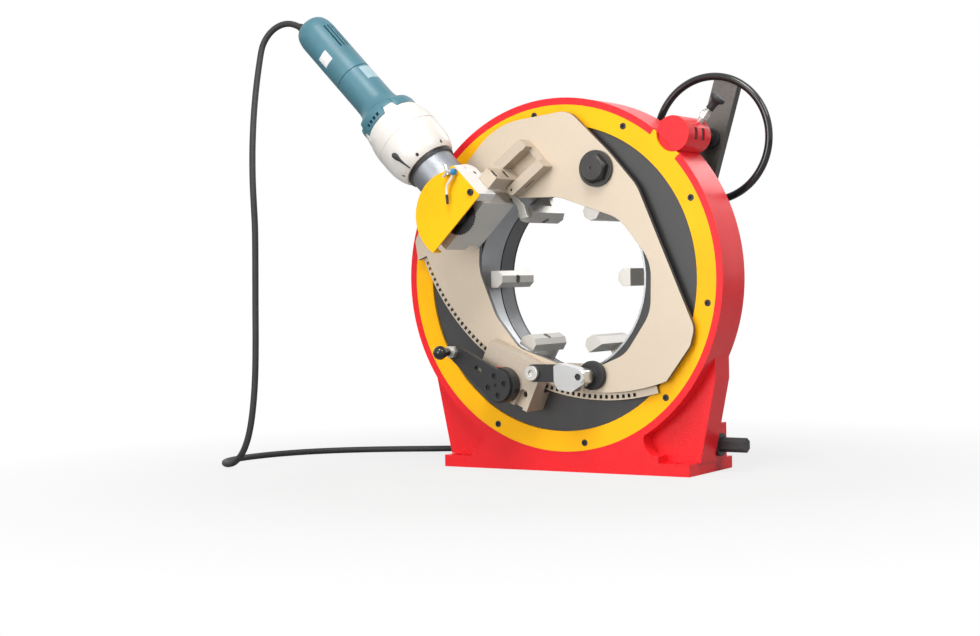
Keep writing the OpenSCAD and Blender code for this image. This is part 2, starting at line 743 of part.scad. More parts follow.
module gearbox_housing() color("#8f8d88") in_head() {
    difference() {
        slab(gearbox_front, plate_front)
            translate([gearbox_w[0], gear_face]) square([gearbox_w[1] - gearbox_w[0], gear_top - gear_face]);
        translate([0, -motor_y, 0]) cylinder(r = 7 + run_clear, h = gear_top + 1);
        slab(gearbox_front - skin, -84) circle(8 + run_clear);
        slab(-85, -60) circle(12.2);
        translate([gearbox_w[0], 0, gear_face - skin]) linear_extrude(20)
            polygon([[-1, -50], [10.5, -45], [10.5, -23], [-1, plate_front]]);
    }
}

module guard2d() {
    difference() {
        union() {
            circle(guard_r);
            polygon([[0, gear_face], [wall_w[1] - 4, gear_face], [wall_w[1], wall_s[0] + 2],
                     [wall_w[1], wall_s[1]], [12, guard_r - 2]]);
        }
        translate([-2 * guard_r, gear_face - 2 * guard_r]) square([4 * guard_r, 2 * guard_r]);
        translate([wall_w[1], -2 * guard_r]) square([2 * guard_r, 4 * guard_r]);
    }
}

module guard_plate() color("#ffc21a") in_head() {
    slab(-guard_front, -guard_front + guard_t) difference() {
        guard2d();
        translate([46, 0]) circle(3);
    }
    slab(-guard_front + guard_t, min(gearbox_front, -motor_y - sleeve_r) - gap) difference() {
        intersection() {
            guard2d();
            translate([-2 * guard_r, -2 * guard_r]) square([2 * guard_r + 12, 4 * guard_r]);
        }
        circle(guard_r - guard_t);
    }
}

module guard_wall() color("#e6e8ea") in_head() {
    difference() {
        translate([wall_w[0], 0, 0]) rotate([90, 0, 90]) linear_extrude(wall_w[1] - wall_w[0])
            polygon(rounded(concat([[-guard_front + guard_t, wall_edge[0][1], 1]], wall_edge,
                                   [[-guard_front + guard_t, wall_s[1], 1]])));
        for (s = [7, 37.4]) translate([wall_w[0] - 1, -83, s]) rotate([0, 90, 0]) cylinder(r = 3, h = 20);
        translate([wall_w[1] - 2, -96.5, 43.8]) rotate([0, 90, 0]) cylinder(r = 5, h = 3);
        slab(-guard_front, -114) translate([46, 0]) circle(3);
    }
}

module arbor() color("#5c5e62") in_head() {
    slab(gearbox_front - gap, -84) circle(8);
    slab(-84, crown_face) circle(11.5);
    for (i = [0:crown_teeth - 1]) rotate([0, i * 360 / crown_teeth, 0])
        translate([-0.5, crown_face - 0.5, crown_r - 1.2]) cube([1, 3.2, 4]);
    slab(blade_y + blade_t, gearbox_front - gap) circle(13);
    slab(blade_y - 3, blade_y + blade_t) circle(8);
    slab(blade_y - 9, blade_y) difference() {
        circle(14);
        circle(8);
    }
    slab(blade_y - 9, blade_y - 3) circle(8);
}

module blade() color("#3a3b3e") in_head() {
    teeth = 44;
    slab(blade_y, blade_y + blade_t) difference() {
        polygon([for (i = [0:teeth - 1])
            each [polar(blade_r, i * 360 / teeth), polar(blade_r - 2.2, i * 360 / teeth + 2.2)]]);
        circle(8);
    }
}

module drive_shaft() color("#84878c") in_head() translate([0, -motor_y, 0]) {
    translate([0, 0, crown_r - 2.6]) linear_extrude(5.2)
        rotate(180 / head_pinion_teeth) gear2d(head_pinion_teeth, head_module);
    translate([0, 0, crown_r + 2.6]) cylinder(r = 4, h = 4);
    translate([0, 0, crown_r + 6.6]) cylinder(r = 7, h = tail_s - 40 - crown_r);
    translate([0, 0, seam_s - 40]) cylinder(r = barrel_r - 9, h = 95);
}

// Motor

module turned(profile) { translate([0, -motor_y, 0]) rotate_extrude() polygon(profile); }

module motor_sleeve() color("#9fa4aa") in_head()
    turned([[9, gear_top], [sleeve_r, gear_top], [sleeve_r, sleeve_s], [40, sleeve_s], [40, bell_s],
            [9, bell_s], [9, bell_s - 10], [sleeve_r - 5, bell_s - 10], [sleeve_r - 5, gear_top + 8],
            [9, gear_top + 8]]);

module bell_housing() color("#e4e5e3") in_head()
    turned([[12, bell_s], [42, bell_s], [bell_r - 5, bell_s + 12], [bell_r - 1.5, bell_s + 23],
            [bell_r, bell_s + 34], [bell_r, bell_end - 32], [bell_r - 1.5, bell_end - 23],
            [bell_r - 4, bell_end - 16], [bell_r - 8, bell_end], [bell_r - 11, bell_end],
            [bell_r - 5, bell_end - 26], [bell_r - 5, bell_s + 36], [36, bell_s + 8], [12, bell_s + 8]]);

module motor_barrel() color("#2f6d78") in_head() difference() {
    turned([[10, bell_end - 10], [bell_r - 11.2, bell_end - 10], [bell_r - 11.2, flare_s],
            [bell_r - 13, flare_s + 5], [barrel_r + 3, barrel_s - 6], [barrel_r, barrel_s + 4],
            [barrel_r, seam_s], [barrel_r - 4, seam_s], [barrel_r - 4, barrel_s], [10, barrel_s - 10]]);
    for (a = [78, 88, 98, 108]) translate([0, -motor_y, bell_end + 3]) rotate([0, 0, -a])
        translate([bell_r - 15, -2.5, 0]) cube([8, 5, 6]);
}

module motor_rear_cap() color("#2f6d78") in_head() difference() {
    turned([[barrel_r - 4, seam_s], [barrel_r, seam_s], [barrel_r, tail_s - 18],
            [barrel_r - 2, tail_s - 8], [barrel_r - 8, tail_s - 1], [barrel_r - 14, tail_s],
            [0, tail_s], [0, tail_s - 5], [barrel_r - 10, tail_s - 6], [barrel_r - 4, tail_s - 18]]);
    for (a = [-29, -16, -3, 10]) translate([0, -motor_y, tail_s - 78]) rotate([0, 0, a])
        translate([barrel_r - 8, -1.4, 0]) cube([12, 2.8, 48]);
    cord_exit() translate([0, 0, -14]) cylinder(r = 8, h = 40);
}

module cord_exit() {
    translate([-4, -motor_y, tail_s - 8]) rotate([0, head_dir - cord_dir, 0]) children();
}

module strain_relief() color("#161617") in_head() intersection() {
    cord_exit() translate([0, 0, -5]) union() {
        cylinder(r = 8, h = 10);
        translate([0, 0, 10]) cylinder(r1 = 8, r2 = cord_r + 1, h = relief_l - 1);
    }
    translate([-60, -motor_y - 40, tail_s - 16]) cube([120, 80, 60]);
}

// Coolant tap on the guard

module tap_place() {
    in_head() translate([43, -guard_front, 47]) rotate([0, head_dir - 90, 0]) children();
}

module coolant_valve() color("#c9ccd0") tap_place() {
    rotate([90, 0, 0]) cylinder(r = 4.5, h = 6);
    translate([0, -8, 0]) rotate([0, -19, 0]) translate([0, 0, -5]) cylinder(r = 2.6, h = 15.5);
    translate([0, -8, 0]) rotate([0, 95, 0]) cylinder(r = 3.2, h = 8);
    translate([7.6, -8, -0.7]) rotate([0, 95, 0]) cylinder(r = 4.6, h = 5.6);
    translate([0, -8, 0]) rotate([0, -138, 0]) cylinder(r = 2.2, h = 10.5);
}

module coolant_tube() color("#d9dcdc") tap_place()
    tube([[8, -8, -5.8], [7.7, -8.1, -9.5], [4.8, -8.5, -13.2], [1.4, -8.7, -17.5], [-0.8, -8.6, -22],
          [-1.6, -8.3, -28], [-1.6, -8, -34.5]], 1.8, 8);

// Chuck

module chuck_body() color("#77797c") at_ring() {
    difference() {
        union() {
            slab(chuck_front, case_d) ring2d(case_r - case_wall, bore_r);
            slab(gear_back + gap, chuck_front) ring2d(wheel_pitch - 35, bore_r + sleeve_w + 2);
            slab(case_d, cam_front - gap) ring2d(chuck_r, bore_r);
            slab(cam_front - gap, cover_front) ring2d(cam_bore - run_clear, bore_r);
        }
        for (i = [0:5]) rotate([0, -i * 60, 0])
            translate([bore_r - 5, slide_front, -jaw_w / 2 - gap])
                cube([slot_end - bore_r + 5, cam_front - gap - slide_front + skin, jaw_w + 2 * gap]);
        slab(chuck_front - skin, case_d + skin) translate([pinion_x, pinion_z]) circle(pinion_pocket + 0.5);
        worm_space();
    }
}

// Spiral slots: the pin moves out as the ring turns anticlockwise seen from the front
module cam_slot2d() {
    from = -jaw_out / cam_lead * 57.2958 - 0.6;
    to = jaw_in / cam_lead * 57.2958 + 0.6;
    steps = 32;
    half = pin_r + gap;
    function at(i) = from + (to - from) * i / steps;
    function mid(i) = pin_at - cam_lead * at(i) / 57.2958;
    polygon(concat([for (i = [0:steps]) polar(mid(i) + half * 1.02, at(i))],
                   [for (i = [steps:-1:0]) polar(mid(i) - half * 1.02, at(i))]));
    translate(polar(mid(0), from)) circle(half);
    translate(polar(mid(steps), to)) circle(half);
}

module cam_ring() color("#8a8c90") at_ring() {
    slab(cam_front, cam_back) difference() {
        rotate(-90) gear2d(wheel_teeth, worm_module, 1.1);
        circle(cam_bore);
        for (i = [0:5]) rotate(i * 60) cam_slot2d();
    }
}

module jaw(i) color("#cfcbc2") at_ring() rotate([0, -i * 60, 0]) {
    nose = 7.5;
    difference() {
        union() {
            slab(0, jaw_l) polygon([[jaw_tip, -jaw_w / 2 + nose], [jaw_tip + nose, -jaw_w / 2],
                                    [jaw_tip + jaw_h, -jaw_w / 2], [jaw_tip + jaw_h, jaw_w / 2],
                                    [jaw_tip + nose, jaw_w / 2], [jaw_tip, jaw_w / 2 - nose]]);
            slab(slide_front + gap, cam_front - 2 * gap)
                translate([jaw_tip + jaw_h - 5, -jaw_w / 2]) square([slide_end - jaw_tip - jaw_h + 5, jaw_w]);
            slab(cam_front - 2 * gap, cam_back - 0.5) translate([pin_at, 0]) circle(pin_r);
        }
        translate([jaw_tip - 1, jaw_l / 2, 0]) rotate([0, 90, 0]) cylinder(r = 6.5, h = 8);
        translate([jaw_tip, jaw_l / 2, 0]) rotate([0, 90, 0]) cylinder(r = 4, h = jaw_h + 1);
    }
}

module jaw_1() { jaw(0); }
module jaw_2() { jaw(1); }
module jaw_3() { jaw(2); }
module jaw_4() { jaw(3); }
module jaw_5() { jaw(4); }
module jaw_6() { jaw(5); }

module rear_cover() color("#2b2c2f") at_ring() {
    difference() {
        union() {
            slab(case_d, cover_back) ring2d(cover_r, wheel_pitch + 4.5);
            slab(cover_front, cover_back) ring2d(cover_r, bore_r);
        }
        worm_space();
        worm_axis(-80) cylinder(r = 11.6, h = 160);
    }
}

module clamp_shaft() color("#1f2022") at_ring() {
    worm_axis(housing_x[0] + 7) cylinder(r = 11, h = -worm_l / 2 - housing_x[0] - 7);
    worm_axis(worm_l / 2) cylinder(r = 11, h = housing_x[1] + 6.5 - worm_l / 2);
    worm_axis(housing_x[1] + 6.5) cylinder(r = hex_af / sqrt(3), h = 40, $fn = 6);
}

// Thread height of the worm at angle a from its crest
function thread(a, tip, root) =
    abs(a) < 34 ? tip : abs(a) > 76 ? root : tip - (tip - root) * (abs(a) - 34) / 42;

module worm() color("#9a9da1") at_ring() {
    turns = worm_l / (3.14159 * worm_module);
    tip = worm_pitch + worm_module * 0.85;
    root = worm_pitch - worm_module * 1.2;
    worm_axis(-worm_l / 2) linear_extrude(worm_l, twist = -360 * turns, slices = round(turns * 16), $fn = 24)
        rotate(-180 * turns) polygon([for (a = [-180:15:165]) polar(thread(a, tip, root), a)]);
}

// Cord

// One cross vector for each ring of a tube, carried along the path without twist
function carried(dirs, i, v) =
    i == len(dirs) ? [] : let (w = unit(v - (v * dirs[i]) * dirs[i])) concat([w], carried(dirs, i + 1, w));

module tube(path, r, sides) {
    n = len(path);
    dirs = [for (i = [0:n - 1]) unit(path[min(i + 1, n - 1)] - path[max(i - 1, 0)])];
    across = carried(dirs, 0, abs(dirs[0][1]) > 0.8 ? [0, 0, 1] : [0, 1, 0]);
    pts = [for (i = [0:n - 1], k = [0:sides - 1]) let (a = k * 360 / sides)
        path[i] + r * (cos(a) * across[i] + sin(a) * cross(across[i], dirs[i]))];
    walls = [for (i = [0:n - 2], k = [0:sides - 1])
        each let (a = i * sides + k, b = i * sides + (k + 1) % sides)
            [[a, b, b + sides], [a, b + sides, a + sides]]];
    first = [for (k = [1:sides - 2]) [0, k + 1, k]];
    last = [for (k = [1:sides - 2]) [(n - 1) * sides, (n - 1) * sides + k, (n - 1) * sides + k + 1]];
    polyhedron(pts, concat(walls, first, last));
}

module cord_lead() color("#191a1b")
    tube(concat([cord_start, cord_start + 10 * [cos(cord_dir), 0, sin(cord_dir)]], cord_route), cord_r, 8);

// Loops of the coil: in on the floor, up a layer in the half turn of the reversal, and out again
function coil_z(t) = cord_r + coil_step * max(0, min(1, 2 * (t - coil_turns)));
function coil_radius(t) =
    t < coil_turns ? coil_r - coil_step * t : t < coil_turns + 0.5 ? coil_r - coil_step * coil_turns
    : coil_r - coil_step * (2 * coil_turns + 0.5 - t);
function coil_loops() = [for (i = [0:24 * (2 * coil_turns + 0.5)]) let (t = i / 24, a = 90 - 360 * t)
    [coil_at[0] + coil_radius(t) * cos(a), coil_at[1] + coil_radius(t) * sin(a), coil_z(t)]];
coil_low = [coil_at[0], coil_at[1] - coil_r, 0];
plug_at = coil_low + [-42, 0, 13];
coil_tail = [coil_low + [-11, 0, 15.6], coil_low + [-22, 0, 14.2], coil_low + [-32, 0, 13], plug_at];
coil_head = [cord_route[len(cord_route) - 1], [coil_at[0] - 6, coil_at[1] + coil_r, cord_r]];
coil_path = concat(coil_head, coil_loops(), coil_tail);

module cord_coil() color("#191a1b") tube(coil_path, cord_r, 6);

// Least gap between loops that are half a turn or more apart
coil_gap = min([for (i = [0:len(coil_path) - 1], j = [0:len(coil_path) - 1])
    if (j > i + 12) norm(coil_path[i] - coil_path[j])]) - 2 * cord_r;
echo(coil_gap = coil_gap);

module plug() color("#1b1b1d") translate(plug_at) rotate([0, -90, 0]) {
    rotate_extrude() polygon([[0, 0], [6.5, 0], [8, 12], [13, 18], [13, plug_l], [11, plug_l + 6],
                              [0, plug_l + 6]]);
    for (side = [-1, 1]) translate([0, side * 9.5, plug_l + 6]) cylinder(r = 2.4, h = 19);
}

frame_casting();
worm_housing();
retaining_ring();
ring_screws();
rotor_bush();
chuck_body();
rear_cover();
shaft_bush();
pinion_bearing();
plunger_body();
plunger_pin();
plunger_knob();
pinion_shaft();
drive_pinion();
handwheel_rim();
handwheel_spoke();
rotor_disc();
rotor_sleeve();
feed_bracket();
pivot_stud();
pivot_nut();
lock_screw();
lock_bar();
lock_block();
lock_pad();
swing_plate();
pivot_bush();
feed_sector();
head_fork();
key_block();
chip_tab();
gearbox_housing();
guard_plate();
guard_wall();
motor_sleeve();
bell_housing();
motor_barrel();
motor_rear_cap();
strain_relief();
coolant_valve();
coolant_tube();
arbor();
blade();
drive_shaft();
feed_crank();
feed_pinion();
knob_spindle();
crank_knob();
cam_ring();
jaw_1();
jaw_2();
jaw_3();
jaw_4();
jaw_5();
jaw_6();
clamp_shaft();
worm();
cord_lead();
cord_coil();
plug();
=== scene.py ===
"""Orbital pipe cutting machine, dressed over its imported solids.

Adds finishes, eased edges, motor shells, small fittings and the mains lead. Pieces are modelled in
millimetres and brought to metres when they are settled. X is to the right, -Y to the front, Z up.
"""
import json
import math

import bpy
from mathutils import Matrix, Vector

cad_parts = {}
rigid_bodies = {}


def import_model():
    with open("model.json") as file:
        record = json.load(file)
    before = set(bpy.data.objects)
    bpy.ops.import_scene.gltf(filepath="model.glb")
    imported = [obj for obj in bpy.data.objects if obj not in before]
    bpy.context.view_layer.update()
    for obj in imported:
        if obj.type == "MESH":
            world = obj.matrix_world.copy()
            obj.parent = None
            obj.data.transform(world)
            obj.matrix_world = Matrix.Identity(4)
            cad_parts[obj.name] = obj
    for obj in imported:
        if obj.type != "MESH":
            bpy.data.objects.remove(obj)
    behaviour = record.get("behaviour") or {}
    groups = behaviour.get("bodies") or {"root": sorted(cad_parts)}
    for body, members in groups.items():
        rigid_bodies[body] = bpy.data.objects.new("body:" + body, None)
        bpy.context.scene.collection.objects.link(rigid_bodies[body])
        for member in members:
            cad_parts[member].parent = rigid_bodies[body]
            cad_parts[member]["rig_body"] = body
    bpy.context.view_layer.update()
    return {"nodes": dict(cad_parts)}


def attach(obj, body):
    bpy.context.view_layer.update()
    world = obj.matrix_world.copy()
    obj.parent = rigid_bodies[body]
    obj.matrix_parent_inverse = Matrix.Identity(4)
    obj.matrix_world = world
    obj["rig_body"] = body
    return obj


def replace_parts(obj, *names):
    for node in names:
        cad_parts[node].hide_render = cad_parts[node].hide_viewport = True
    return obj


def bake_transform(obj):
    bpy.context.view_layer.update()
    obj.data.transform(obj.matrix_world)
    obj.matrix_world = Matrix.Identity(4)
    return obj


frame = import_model()
nodes = frame["nodes"]


# Places in the solids, in millimetres and degrees

MM = 0.001
RING = Vector((0.0, 0.0, 290.0))
PIVOT = Vector((76.5, 0.0, 450.4))
CRANK = Vector((-71.0, 0.0, 131.9))
PINION = Vector((194.07, 0.0, 496.66))
ARBOR = Vector((-104.5, 0.0, 385.7))
HEAD_TILT = -44.5
MOTOR_Y = -71.0
GUARD_FRONT = -128.0
PLATE_FRONT, STRIP_FRONT = -15.0, -7.0


def shift(x, y, z):
    return Matrix.Translation((x, y, z))


def turn(degrees, axis):
    return Matrix.Rotation(math.radians(degrees), 4, axis)


# In the head's own frame Z runs along the motor (s), X across it and Y as in the machine.
HEAD = shift(*ARBOR) @ turn(HEAD_TILT, "Y")
MOTOR = HEAD @ shift(0.0, MOTOR_Y, 0.0)


# Finishes

class Wire:
    """An output socket with arithmetic: an expression on wires adds its Math nodes."""

    def __init__(self, graph, socket):
        self.graph, self.socket = graph, socket

    def combine(self, operation, first, second):
        return self.graph.node("ShaderNodeMath", {"operation": operation}, [first, second])

    def __add__(self, other):
        return self.combine("ADD", self, other)

    def __radd__(self, other):
        return self.combine("ADD", other, self)

    def __sub__(self, other):
        return self.combine("SUBTRACT", self, other)

    def __rsub__(self, other):
        return self.combine("SUBTRACT", other, self)

    def __mul__(self, other):
        return self.combine("MULTIPLY", self, other)

    def __rmul__(self, other):
        return self.combine("MULTIPLY", other, self)


class Graph:
    """A node tree whose nodes are all made and joined by one method."""

    def __init__(self, tree):
        self.tree = tree

    def node(self, kind, settings, sockets, out=0):
        made = self.tree.nodes.new(kind)
        for key, value in settings.items():
            setattr(made, key, value)
        for key, value in sockets.items() if isinstance(sockets, dict) else enumerate(sockets):
            self.join(made.inputs[key], value)
        return Wire(self, made.outputs[out])

    def join(self, socket, value):
        if isinstance(value, Wire):
            self.tree.links.new(value.socket, socket)
        else:
            socket.default_value = value


class Finish(Graph):
    """One surface finish: a material whose shader sockets are set from nodes."""

    def __init__(self, name):
        self.material = bpy.data.materials.new(name)
        self.material.use_nodes = True
        super().__init__(self.material.node_tree)
        self.shader = self.tree.nodes["Principled BSDF"]
        self.spot = self.node("ShaderNodeTexCoord", {}, {}, "Object")

    def place(self, centre=(0, 0, 0), turned_by=(0, 0, 0), scale=(1, 1, 1)):
        """Object coordinates about a centre in metres, turned in degrees and then scaled."""
        about = self.node("ShaderNodeVectorMath", {"operation": "SUBTRACT"}, [self.spot, centre])
        angles = tuple(math.radians(a) for a in turned_by)
        return self.node("ShaderNodeMapping", {}, {"Vector": about, "Rotation": angles, "Scale": scale})

    def noise(self, scale, detail=3.0, rough=0.55, at=None):
        return self.node("ShaderNodeTexNoise", {}, {"Vector": at or self.spot, "Scale": scale,
                                                    "Detail": detail, "Roughness": rough})

    def step(self, value, low, high):
        """0 up to low, 1 from high on, and a straight ramp between them."""
        return self.node("ShaderNodeMapRange", {}, {"Value": value, "From Min": low, "From Max": high})

    def blend(self, share, first, second):
        """The first tone, given over to the second by a share from 0 to 1."""
        made = self.node("ShaderNodeMix", {"data_type": "RGBA"}, {0: share}, 2)
        mix = made.socket.node
        for key, tone in ((6, first), (7, second)):
            self.join(mix.inputs[key], tone if isinstance(tone, Wire) else (*tone, 1.0))
        return made

    def bump(self, height, strength, depth):
        return self.node("ShaderNodeBump", {}, {"Strength": strength, "Distance": depth, "Height": height})

    def set(self, **sockets):
        """Sets the shader's sockets by name and hands back the material."""
        for key, value in sockets.items():
            self.join(self.shader.inputs[key.replace("_", " ")], value)
        return self.material


def enamel(name, tone, shade, peel, gloss):
    """Sprayed enamel: orange peel, a little dust in the hollows of the spray and fine rubs."""
    f = Finish(name)
    cloud = f.noise(9.0, 4.0)
    rubs = f.step(f.noise(160.0, 5.0, 0.7), 0.66, 0.74)
    grain = f.noise(420.0, 2.0)
    tinted = f.blend(f.step(cloud, 0.35, 0.75) * 0.6, tone, shade)
    worn = f.blend(rubs * 0.10, tinted, (0.9, 0.86, 0.8))
    return f.set(Base_Color=worn, Roughness=0.24 + 0.16 * cloud + 0.12 * rubs,
                 Coat_Weight=gloss, Coat_Roughness=0.12, Specular_IOR_Level=gloss + 0.1,
                 Normal=f.bump(grain + 0.4 * f.noise(130.0), peel, 0.0012))


def brushed(name, tone, shade, scale, turned_by=(0, 0, 0), rough=0.3, metal=1.0, depth=0.14, edge=None):
    """Machined metal: drawn lines along one way, cloudy tone and small handling marks. A tone for the
    edge goes on all that lies behind the front faces of the swing plate and its holed strip."""
    f = Finish(name)
    lines = f.noise(220.0, 4.0, 0.6, f.place((0, 0, 0), turned_by, scale))
    cloud = f.noise(14.0, 4.0)
    nicks = f.step(f.noise(90.0, 6.0, 0.75), 0.68, 0.72)
    tint = f.blend(f.step(lines, 0.3, 0.7) * 0.5 + cloud * 0.35, tone, shade)
    tint = f.blend(nicks * 0.25, tint, shade)
    if edge:
        y = f.node("ShaderNodeSeparateXYZ", {}, [f.spot], "Y") * (1 / MM)
        behind_plate = f.step(y, PLATE_FRONT, PLATE_FRONT + 0.5)
        on_strip = f.step(y, STRIP_FRONT - 0.4, STRIP_FRONT)
        behind_strip = f.step(y, STRIP_FRONT + 0.1, STRIP_FRONT + 0.3)
        tint = f.blend(behind_plate - on_strip + behind_strip, tint, edge)
    return f.set(Base_Color=tint, Metallic=metal, Normal=f.bump(lines, depth, 0.0004),
                 Roughness=rough + 0.18 * (lines - 0.5) + 0.12 * (cloud - 0.5))


def lathed(name, tone, shade, centre, turned_by, pitch, rough=0.3, metal=1.0, dark_from=None):
    """Turned metal: fine rings about an axis through a centre in millimetres, turned so that the axis is
    the pattern's Z. From dark_from on along the axis, in metres, it is dark."""
    f = Finish(name)
    at = f.place(centre * MM, turned_by)
    flat = f.node("ShaderNodeVectorMath", {"operation": "MULTIPLY"}, [at, (1, 1, 0)])
    radius = f.node("ShaderNodeVectorMath", {"operation": "LENGTH"}, [flat], "Value")
    along = f.node("ShaderNodeSeparateXYZ", {}, [at], "Z")
    rings = f.node("ShaderNodeMath", {"operation": "SINE"}, [(radius + along) * (math.tau / pitch)])
    cloud = f.noise(30.0, 4.0)
    tint = f.blend(0.5 * f.step(rings, -1.0, 1.0) * cloud + 0.4 * cloud, tone, shade)
    if dark_from:
        tint = f.blend(f.step(along, dark_from, dark_from + 0.001), tint, (0.03, 0.03, 0.03))
    return f.set(Base_Color=tint, Metallic=metal, Roughness=rough + 0.1 * (cloud - 0.5),
                 Normal=f.bump(rings * cloud, 0.25, 0.0003))


def moulded(name, tone, shade, grain, rough, depth, coat=0.0, gloss=0.3):
    """Moulded plastic or rubber: fine grain, cloudy tone and faint scuffs."""
    f = Finish(name)
    cloud = f.noise(22.0, 4.0)
    fine = f.noise(grain, 2.0)
    scuffs = f.step(f.noise(120.0, 6.0, 0.8), 0.66, 0.72)
    tint = f.blend(f.step(cloud, 0.3, 0.75), tone, shade)
    pale = tuple(0.6 * c + 0.12 for c in tone)
    return f.set(Base_Color=f.blend(scuffs * 0.12, tint, pale),
                 Roughness=rough + 0.14 * (cloud - 0.5) + 0.1 * scuffs,
                 Coat_Weight=coat, Specular_IOR_Level=gloss, Normal=f.bump(fine, depth, 0.0005))


def axis_turn(direction):
    """Degrees about X, Y and Z that bring a direction onto the pattern's Z."""
    angles = Vector(direction).rotation_difference(Vector((0, 0, 1))).to_euler()
    return tuple(math.degrees(a) for a in angles)


TO_Y = axis_turn((0, 1, 0))
TO_S = axis_turn(HEAD.col[2][:3])
ALONG_Y = (1, 9, 1)
FINISH = {
    "red": enamel("red_enamel", (0.82, 0.016, 0.024), (0.66, 0.012, 0.018), peel=0.30, gloss=0.12),
    "yellow": enamel("yellow_enamel", (1.0, 0.50, 0.008), (0.88, 0.40, 0.006), peel=0.10, gloss=0.03),
    "rotor": moulded("rotor_black", (0.018, 0.018, 0.019), (0.027, 0.026, 0.026),
                     grain=700.0, rough=0.4, depth=0.10, gloss=0.6),
    "oxide": brushed("black_oxide", (0.03, 0.03, 0.032), (0.012, 0.012, 0.013),
                     (1, 1, 8), (0, 30, 0), rough=0.42, metal=0.35),
    "plate": brushed("ground_plate", (0.61, 0.515, 0.405), (0.50, 0.42, 0.325),
                     (1, 1, 14), (0, 62, 0), rough=0.42, metal=0.25, depth=0.1, edge=(0.085, 0.08, 0.08)),
    "block": brushed("milled_block", (0.56, 0.48, 0.385), (0.38, 0.32, 0.25),
                     (12, 1, 1), (0, 45, 0), rough=0.4, metal=0.35),
    "bright": brushed("bright_steel", (0.62, 0.61, 0.58), (0.48, 0.47, 0.44),
                      ALONG_Y, rough=0.34, metal=0.8, depth=0.05),
    "jaw": brushed("jaw_steel", (0.62, 0.60, 0.56), (0.42, 0.40, 0.37),
                   (9, 1, 9), rough=0.34, metal=0.7, depth=0.06),
    "sleeve": lathed("turned_sleeve", (0.30, 0.32, 0.35), (0.15, 0.155, 0.165),
                     MOTOR.translation, TO_S, 0.0012, rough=0.46, metal=0.8, dark_from=0.1036),
    "nut": lathed("turned_nut", (0.055, 0.053, 0.052), (0.02, 0.02, 0.02),
                  PIVOT, TO_Y, 0.0036, rough=0.38, metal=0.6),
    "bore": lathed("turned_bore", (0.46, 0.475, 0.49), (0.34, 0.35, 0.36),
                   RING, TO_Y, 0.0016, rough=0.36, metal=0.8),
    "chuck": lathed("turned_chuck", (0.17, 0.175, 0.18), (0.10, 0.10, 0.105),
                    RING, TO_Y, 0.0016, rough=0.36, metal=0.8),
    "bronze": lathed("turned_bronze", (0.55, 0.38, 0.16), (0.35, 0.22, 0.08), RING, TO_Y, 0.002),
    "grey": brushed("gearbox_grey", (0.74, 0.73, 0.70), (0.60, 0.59, 0.57),
                    ALONG_Y, rough=0.45, metal=0.5),
    "alloy": brushed("polished_alloy", (0.86, 0.86, 0.85), (0.66, 0.66, 0.66),
                     (1, 6, 1), (0, 20, 0), rough=0.2, metal=0.9, depth=0.06),
    "white": brushed("guard_white", (0.86, 0.87, 0.88), (0.74, 0.75, 0.77),
                     (1, 7, 1), rough=0.34, metal=0.3, depth=0.06),
    "shell": moulded("bell_cream", (0.73, 0.71, 0.68), (0.66, 0.63, 0.59),
                     grain=900.0, rough=0.3, depth=0.05, coat=0.25),
    "teal": moulded("motor_teal", (0.062, 0.186, 0.242), (0.052, 0.150, 0.188),
                    grain=1100.0, rough=0.42, depth=0.12, gloss=0.5),
    "plastic": moulded("gloss_black", (0.012, 0.012, 0.013), (0.02, 0.02, 0.02),
                       grain=500.0, rough=0.16, depth=0.03, coat=0.3),
    "rubber": moulded("cord_rubber", (0.022, 0.022, 0.023), (0.035, 0.034, 0.034),
                      grain=800.0, rough=0.55, depth=0.2),
    "tube": moulded("milky_tube", (0.72, 0.73, 0.70), (0.60, 0.61, 0.58),
                    grain=300.0, rough=0.25, depth=0.04, coat=0.3),
    "blue": moulded("blue_cap", (0.03, 0.26, 0.50), (0.02, 0.19, 0.40),
                    grain=600.0, rough=0.3, depth=0.08, coat=0.2),
    "blade": lathed("saw_steel", (0.055, 0.055, 0.06), (0.02, 0.02, 0.022),
                    ARBOR, TO_Y, 0.0022, rough=0.35),
    "spoke": brushed("spoke_steel", (0.105, 0.097, 0.089), (0.075, 0.07, 0.064),
                     ALONG_Y, rough=0.45, metal=0.3, depth=0.06),
    "label": moulded("blank_label", (0.80, 0.80, 0.79), (0.72, 0.72, 0.72),
                     grain=400.0, rough=0.4, depth=0.03),
    "plate_label": moulded("pale_label", (0.36, 0.50, 0.55), (0.28, 0.42, 0.48),
                           grain=400.0, rough=0.3, depth=0.03, coat=0.3),
}


# Modelling: vertices nearer than WELD are one, faces within FLAT degrees are one face, edges over SHARP
# degrees are eased, and faces within SMOOTH degrees are shaded as one surface.

WELD, FLAT, SHARP, SMOOTH = 0.004, 0.6, 32.0, 34.0


def clamp(value):
    return max(0.0, min(1.0, value))


def begin(*pieces):
    """Selects these pieces alone and makes the last one active."""
    bpy.ops.object.select_all(action="DESELECT")
    for piece in pieces:
        piece.select_set(True)
        bpy.context.view_layer.objects.active = piece


def editing(piece):
    """Opens a piece in edit mode with all its vertices selected."""
    begin(piece)
    bpy.ops.object.mode_set(mode="EDIT")
    bpy.ops.mesh.select_mode(type="VERT")
    bpy.ops.mesh.select_all(action="SELECT")


def done():
    bpy.ops.object.mode_set(mode="OBJECT")


def apply(piece, kind, **settings):
    begin(piece)
    modifier = piece.modifiers.new(kind.lower(), kind)
    for key, value in settings.items():
        setattr(modifier, key, value)
    bpy.ops.object.modifier_apply(modifier=modifier.name)
    return piece


def ease(piece, width, segments=2, angle=SHARP):
    """Rounds the sharp edges by a small bevel."""
    return apply(piece, "BEVEL", width=width, segments=segments, limit_method="ANGLE",
                 angle_limit=math.radians(angle), use_clamp_overlap=True, miter_outer="MITER_ARC")


